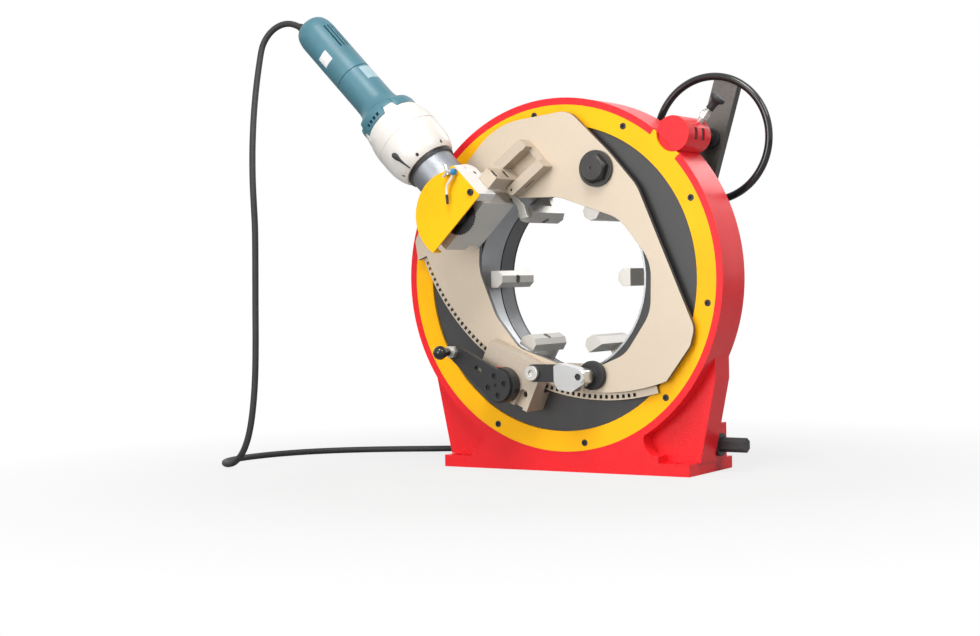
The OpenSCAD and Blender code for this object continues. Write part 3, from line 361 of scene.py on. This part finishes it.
def paint(piece, finish):
    piece.data.materials.clear()
    piece.data.materials.append(FINISH[finish])


def settle(piece, finish, body, place=None):
    """Brings a millimetre model to its place in metres, shades it, paints it and seats it on its body."""
    if place is not None:
        piece.data.transform(place)
    piece.data.transform(Matrix.Scale(MM, 4))
    begin(piece)
    bpy.ops.object.shade_smooth_by_angle(angle=math.radians(SMOOTH))
    apply(piece, "WEIGHTED_NORMAL", keep_sharp=True, weight=60)
    paint(piece, finish)
    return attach(piece, body)


def merged(node):
    """A copy of a solid in millimetres, its loose triangles joined and its flat faces made whole."""
    piece = bpy.data.objects.new(node + "_eased", nodes[node].data.copy())
    bpy.context.scene.collection.objects.link(piece)
    piece.data.transform(Matrix.Scale(1 / MM, 4))
    begin(piece)
    bpy.ops.mesh.customdata_custom_splitnormals_clear()
    editing(piece)
    bpy.ops.mesh.remove_doubles(threshold=WELD)
    bpy.ops.mesh.dissolve_limited(angle_limit=math.radians(FLAT))
    done()
    return piece


def eased(node, width, finish, segments=2):
    """Takes the place of a solid, with its sharp edges rounded."""
    piece = ease(merged(node), width, segments)
    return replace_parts(settle(piece, finish, nodes[node]["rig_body"]), node)


def smooth_line(points, steps):
    """A smooth curve through the given points, in so many steps from each to the next."""
    points = [Vector(p) for p in points]
    ends = [points[0] * 2 - points[1], *points, points[-1] * 2 - points[-2]]
    line = []
    for a, b, c, d in zip(ends, ends[1:], ends[2:], ends[3:]):
        for i in range(steps):
            t = i / steps
            line.append(0.5 * (2 * b + (c - a) * t + (2 * a - 5 * b + 4 * c - d) * t * t
                               + (3 * b - a - 3 * c + d) * t * t * t))
    return [*line, points[-1]]


def turned(name, profile, sides=64, hollow=False):
    """A turned piece about Z: a circle drawn out ring by ring along (radius, height) pairs, closed at both
    ends, or on itself where it is hollow."""
    rings = [*profile, profile[0]] if hollow else list(profile)
    begin()
    bpy.ops.mesh.primitive_circle_add(vertices=sides, radius=rings[0][0], location=(0, 0, rings[0][1]))
    piece = bpy.context.active_object
    piece.name = name
    bpy.ops.object.transform_apply(location=True)
    editing(piece)
    for (r0, z0), (r1, z1) in zip(rings, rings[1:]):
        bpy.ops.mesh.extrude_region_move(TRANSFORM_OT_translate={"value": (0, 0, z1 - z0)})
        if abs(r1 - r0) > 1e-6:
            bpy.ops.transform.resize(value=(r1 / r0, r1 / r0, 1), center_override=(0, 0, z1))
    bpy.ops.mesh.select_all(action="SELECT")
    if hollow:
        bpy.ops.mesh.remove_doubles(threshold=WELD)
    else:
        bpy.ops.mesh.fill_holes(sides=0)
    bpy.ops.mesh.select_all(action="SELECT")
    bpy.ops.mesh.normals_make_consistent(inside=False)
    done()
    return piece


def plate(name, outline, y0, y1):
    """A flat piece: an outline in X and Z drawn out from depth y0 to depth y1."""
    begin()
    bpy.ops.mesh.primitive_circle_add(vertices=len(outline), radius=1.0, fill_type="NGON")
    piece = bpy.context.active_object
    piece.name = name
    for vertex, (x, z) in zip(piece.data.vertices, outline):
        vertex.co = (x, y0, z)
    editing(piece)
    bpy.ops.mesh.extrude_region_move(TRANSFORM_OT_translate={"value": (0, y1 - y0, 0)})
    bpy.ops.mesh.select_all(action="SELECT")
    bpy.ops.mesh.normals_make_consistent(inside=False)
    done()
    return piece


def cut(piece, *tools):
    """Takes the tools' shapes out of a piece and removes the tools."""
    for tool in tools:
        apply(piece, "BOOLEAN", object=tool, operation="DIFFERENCE", solver="EXACT")
        bpy.data.objects.remove(tool)
    return piece


def moved(piece, *places):
    for place in places:
        piece.data.transform(place)
    return piece


def joined(name, pieces):
    """Makes one piece of several."""
    begin(*pieces)
    bpy.ops.object.join()
    bpy.context.active_object.name = name
    return bpy.context.active_object


def facing(x, y, z):
    """Local Z looks forwards, out of the front of the machine."""
    return shift(x, y, z) @ turn(90, "X")


def round_axis(centre, radius, angle):
    """X and Z of a point round an axis that runs along Y."""
    a = math.radians(angle)
    return centre.x + radius * math.cos(a), centre.z + radius * math.sin(a)


def round_the_motor(angle, s, radius):
    """On the motor's surface: local Z points outwards, local X runs along the motor."""
    return turn(angle, "Z") @ shift(radius, 0, s) @ turn(90, "Y") @ turn(180, "Z")


SCREW_CHAMFER, SOCKET_DEPTH = 0.6, 2.2


def socket_screw(name, radius, height, key):
    """A cap screw head with a hexagon socket, standing on Z = 0."""
    side, top = height - SCREW_CHAMFER, radius - SCREW_CHAMFER
    head = turned(name, [(radius, 0), (radius, side), (top, height)], 28)
    return cut(head, turned("key", [(key, height - SOCKET_DEPTH), (key, height + 1)], 6))


# Solids that show, with eased edges, and solids that are painted as they are

EASED = (
    ("frame_casting", 2.2, "red"), ("worm_housing", 2.0, "red"), ("retaining_ring", 0.5, "yellow"),
    ("feed_bracket", 1.2, "block"), ("pivot_nut", 1.0, "nut"), ("lock_screw", 0.8, "bright"),
    ("lock_bar", 0.8, "oxide"), ("lock_block", 3.2, "alloy"), ("swing_plate", 0.6, "plate"),
    ("head_fork", 1.4, "block"), ("key_block", 0.8, "block"), ("chip_tab", 0.6, "bright"),
    ("gearbox_housing", 1.2, "grey"), ("guard_plate", 0.5, "yellow"), ("guard_wall", 0.8, "white"),
    ("motor_sleeve", 0.7, "sleeve"), ("feed_crank", 1.0, "oxide"), ("knob_spindle", 0.7, "bright"),
    ("shaft_bush", 0.8, "oxide"), ("clamp_shaft", 0.8, "oxide"), ("plunger_body", 0.6, "bright"),
    ("handwheel_spoke", 0.8, "spoke"), ("pinion_shaft", 0.8, "oxide"), ("rear_cover", 0.8, "oxide"),
    ("coolant_valve", 0.4, "bright"), ("arbor", 0.5, "oxide"),
    *((f"jaw_{i}", 1.0, "jaw") for i in range(1, 7)),
    ("lock_pad", 3.2, "rubber", 4),
)
for row in EASED:
    eased(*row)

CARRIED = {
    "rotor": ("rotor_disc",),
    "bore": ("rotor_sleeve",),
    "plate": ("feed_sector",),
    "oxide": ("ring_screws", "pivot_stud"),
    "chuck": ("chuck_body", "cam_ring"),
    "bronze": ("rotor_bush", "pinion_bearing", "pivot_bush"),
    "bright": ("plunger_pin", "drive_pinion", "feed_pinion", "drive_shaft", "worm"),
    "blade": ("blade",),
    "plastic": ("crank_knob", "handwheel_rim"),
    "rubber": ("strain_relief", "plug", "plunger_knob"),
    "tube": ("coolant_tube",),
}
for finish, names in CARRIED.items():
    for node in names:
        paint(nodes[node], finish)


# Motor shells, turned about the motor's axis from (radius, s) pairs

LUG_ANGLE, LUG_HALF, LUG_FADE = -52.0, 14.0, 4.0
LUG_ROOT, LUG_SHORT, LUG_MORE = 193.0, 0.62, 0.57
BELL_FRONT = ((42, 110), (45.5, 115), (48.6, 122), (51.4, 132), (52.8, 144), (53, 155), (53, 163.2))
BELL_SEAM = ((52.2, 163.6), (52.2, 164.4), (53, 164.8))
BELL_REAR = ((53, 166), (52.8, 176), (51.6, 185), (49.8, 193), (47.9, 201), (46.2, 209))
BELL_INSIDE = ((43.2, 209), (45.2, 193), (48, 177), (48, 146), (36, 118), (13, 118), (13, 110))
BELL_SCREWS = [(-71 + 58 * i, 115.6, 45.6) for i in range(-1, 5)]
PIT_FORM, PIT_FLOOR = ((2.6, -4), (2.6, 4)), 3.4
SCOOP = round_the_motor(-101, 134, 50.8) @ turn(73, "Y")
SCOOP_FORM = ((0.8, -25), (1.6, -14), (2.6, -5), (4.0, 0), (4.6, 4), (3.8, 8), (1.6, 10.5))
# Painted shade in the scoop: a dark piece, this much smaller round and along than the scoop, and sunk this
# far
SCOOP_SHADE_ROUND, SCOOP_SHADE_LONG, SCOOP_SHADE_SINK = 0.97, 0.98, 1.3

BARREL_LIP = ((42.0, 203.6), (42.6, 204.0))
BARREL_FLANGE = ((42.7, 206), (42.8, 216), (42.4, 224), (41.0, 229))
BARREL_NECK = ((39.6, 231), (35.6, 236), (32.6, 242), (31, 248), (30.2, 256), (30, 285), (30, 308))
BARREL_INSIDE = ((29, 308.8), (26, 308.8), (26, 248), (12, 238), (12, 199), (41.4, 199))
LOBE_FROM, LOBE_TO, LOBE_FADE, LOBE_R, LOBE_RISE = 203.8, 236.0, 7.0, 35.0, 0.08
LEAN_FROM, LEAN_TO, LEAN_IN, LEAN_OUT = 214.0, 285.0, 10.0, 30.0
LEAN_R, LEAN_BY, LEAN_SLOPE = 29.0, 3.0, 0.13
VENTS = (-78, -88, -98, -108, 72, 82, 92, 102)
VENT_S, VENT_R = 211.0, 45.5
VENT_FORM = ((-2.7, -2.3), (2.7, -2.3), (2.7, 2.3), (-2.7, 2.3))
VENT_DEPTH = (-4, 5)

CAP_OUTSIDE = ((30, 310), (30, 360), (30, 402), (29.6, 411), (28.2, 419), (25.4, 425.6),
               (21, 430), (15, 431.8), (6, 432))
CAP_INSIDE = ((6, 426), (16, 426), (23, 420), (26, 406), (26, 309.2), (29, 309.2))
CAP_SLOTS = (-29, -16, -3, 10, 151, 164, 177, 190)
CAP_SLOT_S, CAP_SLOT_R = 378.0, 29.0
CAP_SLOT_FORM, CAP_SLOT_DEEPER = ((1.5, -24), (1.5, 24)), 4.0


def lug(x, y):
    """1 on the bell's four rear lugs, 0 on the barrel's lobes between them."""
    off = (math.degrees(math.atan2(y, x)) - LUG_ANGLE + 45) % 90 - 45
    wave = clamp((LUG_HALF - abs(off)) / LUG_FADE)
    return wave * wave * (3 - 2 * wave)


def bell():
    """Cream bell with a seam, a scoop, screw pits and four lugs at its rear edge."""
    outside = [*smooth_line(BELL_FRONT, 3), *BELL_SEAM, *smooth_line(BELL_REAR, 3)]
    piece = turned("motor_bell", [*outside, *BELL_INSIDE], 192, hollow=True)
    for vertex in piece.data.vertices:
        x, y, s = vertex.co
        if s > LUG_ROOT:
            vertex.co.z = LUG_ROOT + (s - LUG_ROOT) * (LUG_SHORT + LUG_MORE * lug(x, y))
    tools = [moved(turned("scoop", SCOOP_FORM, 24), SCOOP)]
    for screw in BELL_SCREWS:
        tools.append(moved(turned("pit", PIT_FORM, 20), round_the_motor(*screw)))
    return cut(piece, *tools)


def barrel():
    """Teal barrel: flange with lobes between the bell's lugs, square vents, and a neck that leans."""
    outside = [*BARREL_LIP, *smooth_line(BARREL_FLANGE, 2), *smooth_line(BARREL_NECK, 3)]
    piece = turned("motor_barrel_shell", [*outside, *BARREL_INSIDE], 192, hollow=True)
    for vertex in piece.data.vertices:
        x, y, s = vertex.co
        if LOBE_FROM < s < LOBE_TO and math.hypot(x, y) > LOBE_R:
            grow = 1 + LOBE_RISE * (1 - lug(x, y)) * min(1.0, (LOBE_TO - s) / LOBE_FADE)
            vertex.co = (x * grow, y * grow, s)
        if LEAN_FROM < s < LEAN_TO and math.hypot(x, y) > LEAN_R:
            share = clamp(min((s - LEAN_FROM) / LEAN_IN, (LEAN_TO - s) / LEAN_OUT))
            vertex.co.z -= (LEAN_BY + LEAN_SLOPE * x) * share
    tools = []
    for angle in VENTS:
        vent = plate("vent", VENT_FORM, *VENT_DEPTH)
        tools.append(moved(vent, turn(-90, "X"), round_the_motor(angle, VENT_S, VENT_R)))
    return cut(piece, *tools)


def rear_cap():
    """Teal rear cap with a seam groove, long slots and a rounded end with the lead's hole."""
    piece = turned("motor_rear_shell", [*smooth_line(CAP_OUTSIDE, 4), *CAP_INSIDE], 128, hollow=True)
    tools = []
    for angle in CAP_SLOTS:
        slot = turned("slot", CAP_SLOT_FORM, 20)
        deeper = Matrix.Scale(CAP_SLOT_DEEPER, 4, (1, 0, 0))
        tools.append(moved(slot, deeper, turn(90, "Y"), round_the_motor(angle, CAP_SLOT_S, CAP_SLOT_R)))
    return cut(piece, *tools)


SHELL_SHARP = 50.0
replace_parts(settle(ease(bell(), 0.5, angle=SHELL_SHARP), "shell", "head", MOTOR), "bell_housing")
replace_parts(settle(ease(barrel(), 0.4, angle=SHELL_SHARP), "teal", "head", MOTOR), "motor_barrel")
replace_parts(settle(ease(rear_cap(), 0.4, angle=SHELL_SHARP), "teal", "head", MOTOR), "motor_rear_cap")

pits = []
for angle, s, radius in BELL_SCREWS:
    head = socket_screw("bell_screw", radius=2.3, height=2.4, key=1.1)
    pits.append(moved(head, round_the_motor(angle, s, radius - PIT_FLOOR)))
settle(joined("bell_screws", pits), "oxide", "head", MOTOR)
# A dark piece sunk in the scoop's hollow: painted shade, standing in for the shade that falls in the scoop
scoop_shade = turned("scoop_painted_shade", [(r * SCOOP_SHADE_ROUND, z * SCOOP_SHADE_LONG) for r, z in SCOOP_FORM], 24)
settle(moved(scoop_shade, shift(-SCOOP_SHADE_SINK, 0, 0)), "rubber", "head", MOTOR @ SCOOP)

LABEL_R, LABEL_THICK = 30.1, 0.35


def label(name, angle, s, width, length, finish):
    """A blank curved plate on the motor's shell."""
    begin()
    bpy.ops.mesh.primitive_grid_add(x_subdivisions=14, y_subdivisions=6, size=1.0)
    piece = bpy.context.active_object
    piece.name = name
    for vertex in piece.data.vertices:
        a = math.radians(angle) + vertex.co.x * width / LABEL_R
        vertex.co = (LABEL_R * math.cos(a), LABEL_R * math.sin(a), s + vertex.co.y * length)
    apply(piece, "SOLIDIFY", thickness=LABEL_THICK, offset=0.0)
    return settle(ease(piece, 0.1, 1), finish, "head", MOTOR)


label("motor_plate", angle=-8, s=292, width=27, length=26, finish="plate_label")
label("motor_label", angle=-96, s=353.5, width=20, length=20, finish="label")


# Small fittings

GUARD_SCREW = HEAD @ facing(46, GUARD_FRONT, 0)
TAP = HEAD @ shift(43, GUARD_FRONT, 47) @ turn(-HEAD_TILT, "Y")
TAP_CAP = TAP @ shift(8.4, -8, -0.8) @ turn(95, "Y")
TUBE_TIP = TAP @ shift(-0.2, -8, -48) @ turn(-5.6, "Y")
TAP_CAP_FORM = ((4.4, 0), (5.2, 0.5), (5.2, 4.8), (4.3, 5.8))
TUBE_TIP_FORM = ((1.5, 0), (2.0, 0.8), (2.2, 13.4), (1.9, 14.2))
settle(socket_screw("guard_screw", radius=5.0, height=3.0, key=2.4), "oxide", "head", GUARD_SCREW)
settle(turned("tap_cap", TAP_CAP_FORM, 32), "blue", "head", TAP_CAP)
settle(turned("tube_tip", TUBE_TIP_FORM, 20), "rubber", "head", TUBE_TIP)

CRANK_FACE, CRANK_ARM, CRANK_CIRCLE = -65.2, 146.7, 14.5
MARK_FORM = ((-88, 151), (-80, 160), (-76, 156), (-84, 147))
MARK_FRONT, MARK_BACK = -51, -44
heads = []
for i in range(4):
    x, z = round_axis(CRANK, CRANK_CIRCLE, CRANK_ARM + 45 + 90 * i)
    screw = socket_screw("crank_screw", radius=3.6, height=3.2, key=1.7)
    heads.append(moved(screw, facing(x, CRANK_FACE, z)))
settle(joined("crank_screws", heads), "oxide", "crank")
settle(ease(plate("crank_mark", MARK_FORM, MARK_FRONT, MARK_BACK), 0.8), "red", "rotor")

KEY_FACE, KEY_S, KEY_YS = 72.2, 13.0, (-80, -48)
KEY_SLOT_R, KEY_SLOT_HALF, KEY_SLOT_SIDES = 3.9, 3.0, 24
WALL_FACE, WALL_Y, WALL_SS, WALL_HOLE_R = 52.6, -83.0, (7, 37.4), 2.95
# Thin dark pieces in the key block's slots and in the guard wall's holes are painted shade, standing in
# for the shade deep inside them
key_slot = []
for i in range(KEY_SLOT_SIDES):
    a = math.tau * (i + 0.5) / KEY_SLOT_SIDES
    key_slot.append((KEY_SLOT_R * math.cos(a),
                     KEY_SLOT_R * math.sin(a) + math.copysign(KEY_SLOT_HALF, math.sin(a))))
wall_hole = ((WALL_HOLE_R, -1), (WALL_HOLE_R, -0.2), (WALL_HOLE_R - 0.2, 0))
hole_shades = []
for y in KEY_YS:
    slot = plate("key_slot_shade", key_slot, 0, 1)
    hole_shades.append(moved(slot, turn(-90, "Z"), HEAD @ shift(KEY_FACE, y, KEY_S)))
for s in WALL_SS:
    hole = turned("wall_hole_shade", wall_hole, 24)
    hole_shades.append(moved(hole, HEAD @ shift(WALL_FACE, WALL_Y, s) @ turn(90, "Y")))
settle(joined("painted_hole_shade", hole_shades), "rubber", "head")

# Two thin dark patches on the lobe's side are painted shade, standing in for the shade inside two slots
LOBE_SIDE, LOBE_PROUD, LOBE_SLOT_HALF = 23.55, 24.2, 8.8
LOBE_YS, LOBE_SLOT_DEPTH = (21.2, 45.2), 9.6
lobe_slot_shade = ((LOBE_SIDE, -LOBE_SLOT_HALF), (LOBE_PROUD, -LOBE_SLOT_HALF),
             (LOBE_PROUD, LOBE_SLOT_HALF), (LOBE_SIDE, LOBE_SLOT_HALF))
slot_shades = [plate("lobe_slot_shade", lobe_slot_shade, y, y + LOBE_SLOT_DEPTH) for y in LOBE_YS]
for slot in slot_shades:
    moved(ease(slot, 0.1, 1), shift(*PINION))
settle(joined("painted_lobe_slot_shades", slot_shades), "rubber", "frame")

COVER_BACK, COVER_CIRCLE = 102.0, 226.0
rear = []
for angle in range(-15, 210, 30):
    x, z = round_axis(RING, COVER_CIRCLE, angle)
    screw = socket_screw("rear_screw", radius=5.0, height=4.0, key=2.4)
    rear.append(moved(screw, shift(x, COVER_BACK, z) @ turn(-90, "X")))
settle(joined("rear_screws", rear), "bright", "frame")


# Mains lead: the route of the solid, and of its coil on the floor

LEAD = (
    (-426.6, -71, 694.7), (-435.8, -71, 698.6), (-445.9, -71.2, 701.5), (-456.4, -71.9, 701.9),
    (-466.6, -73, 699.7), (-476.1, -74.5, 695.1), (-484.1, -76.3, 688.3), (-490.2, -78.5, 679.9),
    (-494.2, -81, 670.1), (-495.6, -83.9, 659), (-495.1, -89.5, 640), (-493.1, -97.4, 616),
    (-489.6, -106.6, 590), (-484.2, -117.6, 560), (-478, -128.2, 530), (-471.7, -137.8, 500),
    (-465.7, -145.8, 470), (-460.7, -151.4, 440), (-457.3, -153.9, 410), (-456, -154, 380),
    (-456, -154, 350), (-456, -155, 300), (-457, -155, 250), (-457, -156, 200), (-459, -156, 150),
    (-462, -157, 110), (-467, -158, 75), (-475, -158, 47), (-488, -157, 24), (-507, -153, 10),
    (-529, -143, 5.4), (-549, -127, 5), (-563, -105, 5), (-571, -78, 5), (-573, -48, 5),
    (-570, -18, 5), (-563, 11, 5), (-552, 38, 5), (-538, 63, 5), (-520, 86, 5), (-499, 107, 5),
    (-476, 125, 5), (-451, 142, 5), (-424, 157, 5), (-397, 171, 5), (-369, 184, 5), (-342, 198, 5),
    (-315, 212, 5), (-288, 226, 5), (-262, 241, 5), (-236, 256, 5), (-209, 269, 5), (-181, 280, 5),
    (-152, 287, 5), (-130, 289, 5),
)
CORD_R = 5.0
COIL_X, COIL_Y, COIL_R = -120.0, 227.0, 62.0
COIL_STEP, COIL_TURNS, PER_TURN = 10.8, 1.5, 24
PLUG_END = ((-11, 15.6), (-22, 14.2), (-32, 13), (-42, 13))


def coil_points():
    """Loops inwards on the floor, up a layer in half a turn, and outwards again to the plug."""
    points = [(COIL_X - 6, COIL_Y + COIL_R, CORD_R)]
    turns = 2 * COIL_TURNS + 0.5
    for i in range(int(PER_TURN * turns) + 1):
        t = i / PER_TURN
        a = math.radians(90 - 360 * t)
        r = COIL_R - COIL_STEP * min(t, COIL_TURNS, turns - t)
        lift = COIL_STEP * clamp(2 * (t - COIL_TURNS))
        points.append((COIL_X + r * math.cos(a), COIL_Y + r * math.sin(a), CORD_R + lift))
    return points + [(COIL_X + x, COIL_Y - COIL_R, z) for x, z in PLUG_END]


def lead(name, points):
    """A round cable swept along its route, in metres, with the length of that route."""
    path = [p * MM for p in points]
    line = bpy.data.curves.new(name, "CURVE")
    line.dimensions, line.use_fill_caps = "3D", True
    line.bevel_depth, line.bevel_resolution = CORD_R * MM, 5
    spline = line.splines.new("POLY")
    spline.points.add(len(path) - 1)
    for knot, p in zip(spline.points, path):
        knot.co = (*p, 1.0)
    piece = bpy.data.objects.new(name, line)
    bpy.context.scene.collection.objects.link(piece)
    begin(piece)
    bpy.ops.object.convert(target="MESH")
    piece = bpy.context.active_object
    bpy.ops.object.shade_smooth()
    paint(piece, "rubber")
    return piece, path, sum((b - a).length for a, b in zip(path, path[1:]))


# The lead is swept in two pieces, split at SPLIT; the lower one takes the place of the solid's lead and
# coil.
STEPS = 4
ARC_END, SPLIT = 10 * STEPS, 20 * STEPS
route = smooth_line((*LEAD, *coil_points()), STEPS)
upper, path, length = lead("lead_at_motor", route[:SPLIT + 1])
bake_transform(upper)
lower, path, length = lead("lead_to_plug", route[SPLIT:])
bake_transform(lower)
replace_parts(lower, "cord_lead", "cord_coil")

TIE_FORM = ((9.4, -6), (10.6, -6), (10.6, 6), (9.4, 6))
TIE_WIDER = Matrix.Diagonal((1.35, 1.0, 1.0, 1.0))
TIE = shift(COIL_X + 54, COIL_Y, 10.4) @ turn(90, "X")
tie = moved(turned("coil_tie", TIE_FORM, 40, hollow=True), TIE_WIDER)
settle(ease(tie, 0.4), "plastic", "frame", TIE)


# Floor, light and camera, in metres and watts

FLOOR_SIZE, FLOOR_Z = 40.0, -0.0004
FLOOR_TONE, FLOOR_SHADE = (0.42, 0.42, 0.42), (0.38, 0.38, 0.38)
FLOOR_WHITE = 0.78
WHITE_FROM, WHITE_TO = 0.4, 1.0
WORLD_LIGHT = 0.22
LAMPS = (
    ("key", (0.6, -1.9, 3.2), (0, 0, 0.4), 1.4, 98.0, (1.0, 0.98, 0.95)),
    ("fill", (-0.3, -4.0, 0.8), (0, 0, 0.3), 2.2, 104.0, (1.0, 0.99, 0.98)),
    ("side", (2.8, -0.7, 2.6), (0, 0, 0.4), 1.2, 44.0, (1.0, 1.0, 1.0)),
    ("back", (0.6, 2.6, 2.2), (0, 0, 0.4), 1.6, 20.0, (1.0, 1.0, 1.0)),
)
CAMERA_AZIMUTH, CAMERA_ELEVATION, CAMERA_ROLL = 30.49, 0.12, -1.01
CAMERA_AWAY = 2.705
SENSOR, FOCAL, SHIFT_X, SHIFT_Y = 36.0, 66.29, -0.0705, -0.0406


def studio():
    """A pale floor that keeps the shadow and turns white away from the object, before a white world."""
    begin()
    bpy.ops.mesh.primitive_plane_add(size=FLOOR_SIZE, location=(0, 0, FLOOR_Z))
    floor = bpy.context.active_object
    floor.name = "floor"
    f = Finish("pale_floor")
    f.set(Base_Color=f.blend(f.noise(3.0), FLOOR_TONE, FLOOR_SHADE), Roughness=0.9)
    away = f.node("ShaderNodeVectorMath", {"operation": "LENGTH"}, [f.spot], "Value")
    seen = f.node("ShaderNodeLightPath", {}, {}, "Is Camera Ray")
    glow = f.node("ShaderNodeEmission", {}, {"Color": (1, 1, 1, 1), "Strength": 1.0})
    share = seen * (FLOOR_WHITE + (1 - FLOOR_WHITE) * f.step(away, WHITE_FROM, WHITE_TO))
    mixed = f.node("ShaderNodeMixShader", {}, [share, Wire(f, f.shader.outputs[0]), glow])
    f.join(f.tree.nodes["Material Output"].inputs["Surface"], mixed)
    floor.data.materials.append(f.material)

    world = bpy.data.worlds.new("studio")
    bpy.context.scene.world = world
    world.use_nodes = True
    w = Graph(world.node_tree)
    camera_ray, glossy_ray, clear_ray = (w.node("ShaderNodeLightPath", {}, {}, f"Is {kind} Ray")
                                         for kind in ("Camera", "Glossy", "Transmission"))
    lit = w.node("ShaderNodeBackground", {}, {"Color": (0.94, 0.97, 1.0, 1), "Strength": WORLD_LIGHT})
    white = w.node("ShaderNodeBackground", {}, {"Color": (1, 1, 1, 1), "Strength": 1.0})
    both = w.node("ShaderNodeMixShader", {}, [camera_ray + glossy_ray + clear_ray, lit, white])
    w.join(w.tree.nodes["World Output"].inputs["Surface"], both)


def lamp(name, at, to, size, power, tint):
    """A square area light at one place, turned to another."""
    light = bpy.data.lights.new(name, "AREA")
    light.size, light.energy, light.color = size, power, tint
    made = bpy.data.objects.new(name, light)
    bpy.context.scene.collection.objects.link(made)
    made.location = at
    made.rotation_euler = (Vector(to) - Vector(at)).to_track_quat("-Z", "Y").to_euler()


def camera():
    """The photo's camera, about the middle of the ring."""
    lens = bpy.data.cameras.new("photo_camera")
    lens.sensor_width, lens.lens = SENSOR, FOCAL
    lens.shift_x, lens.shift_y = SHIFT_X, SHIFT_Y
    made = bpy.data.objects.new("photo_camera", lens)
    bpy.context.scene.collection.objects.link(made)
    a, e, roll = (math.radians(d) for d in (CAMERA_AZIMUTH, CAMERA_ELEVATION, CAMERA_ROLL))
    back = Vector((math.sin(a) * math.cos(e), -math.cos(a) * math.cos(e), math.sin(e)))
    right = Vector((math.cos(a), math.sin(a), 0.0))
    up = back.cross(right)
    x = right * math.cos(roll) + up * math.sin(roll)
    y = up * math.cos(roll) - right * math.sin(roll)
    made.matrix_world = Matrix((x, y, back)).transposed().to_4x4()
    made.location = RING * MM + back * CAMERA_AWAY
    bpy.context.scene.camera = made


studio()
for row in LAMPS:
    lamp(*row)
camera()
bpy.context.scene.view_settings.view_transform = "Standard"
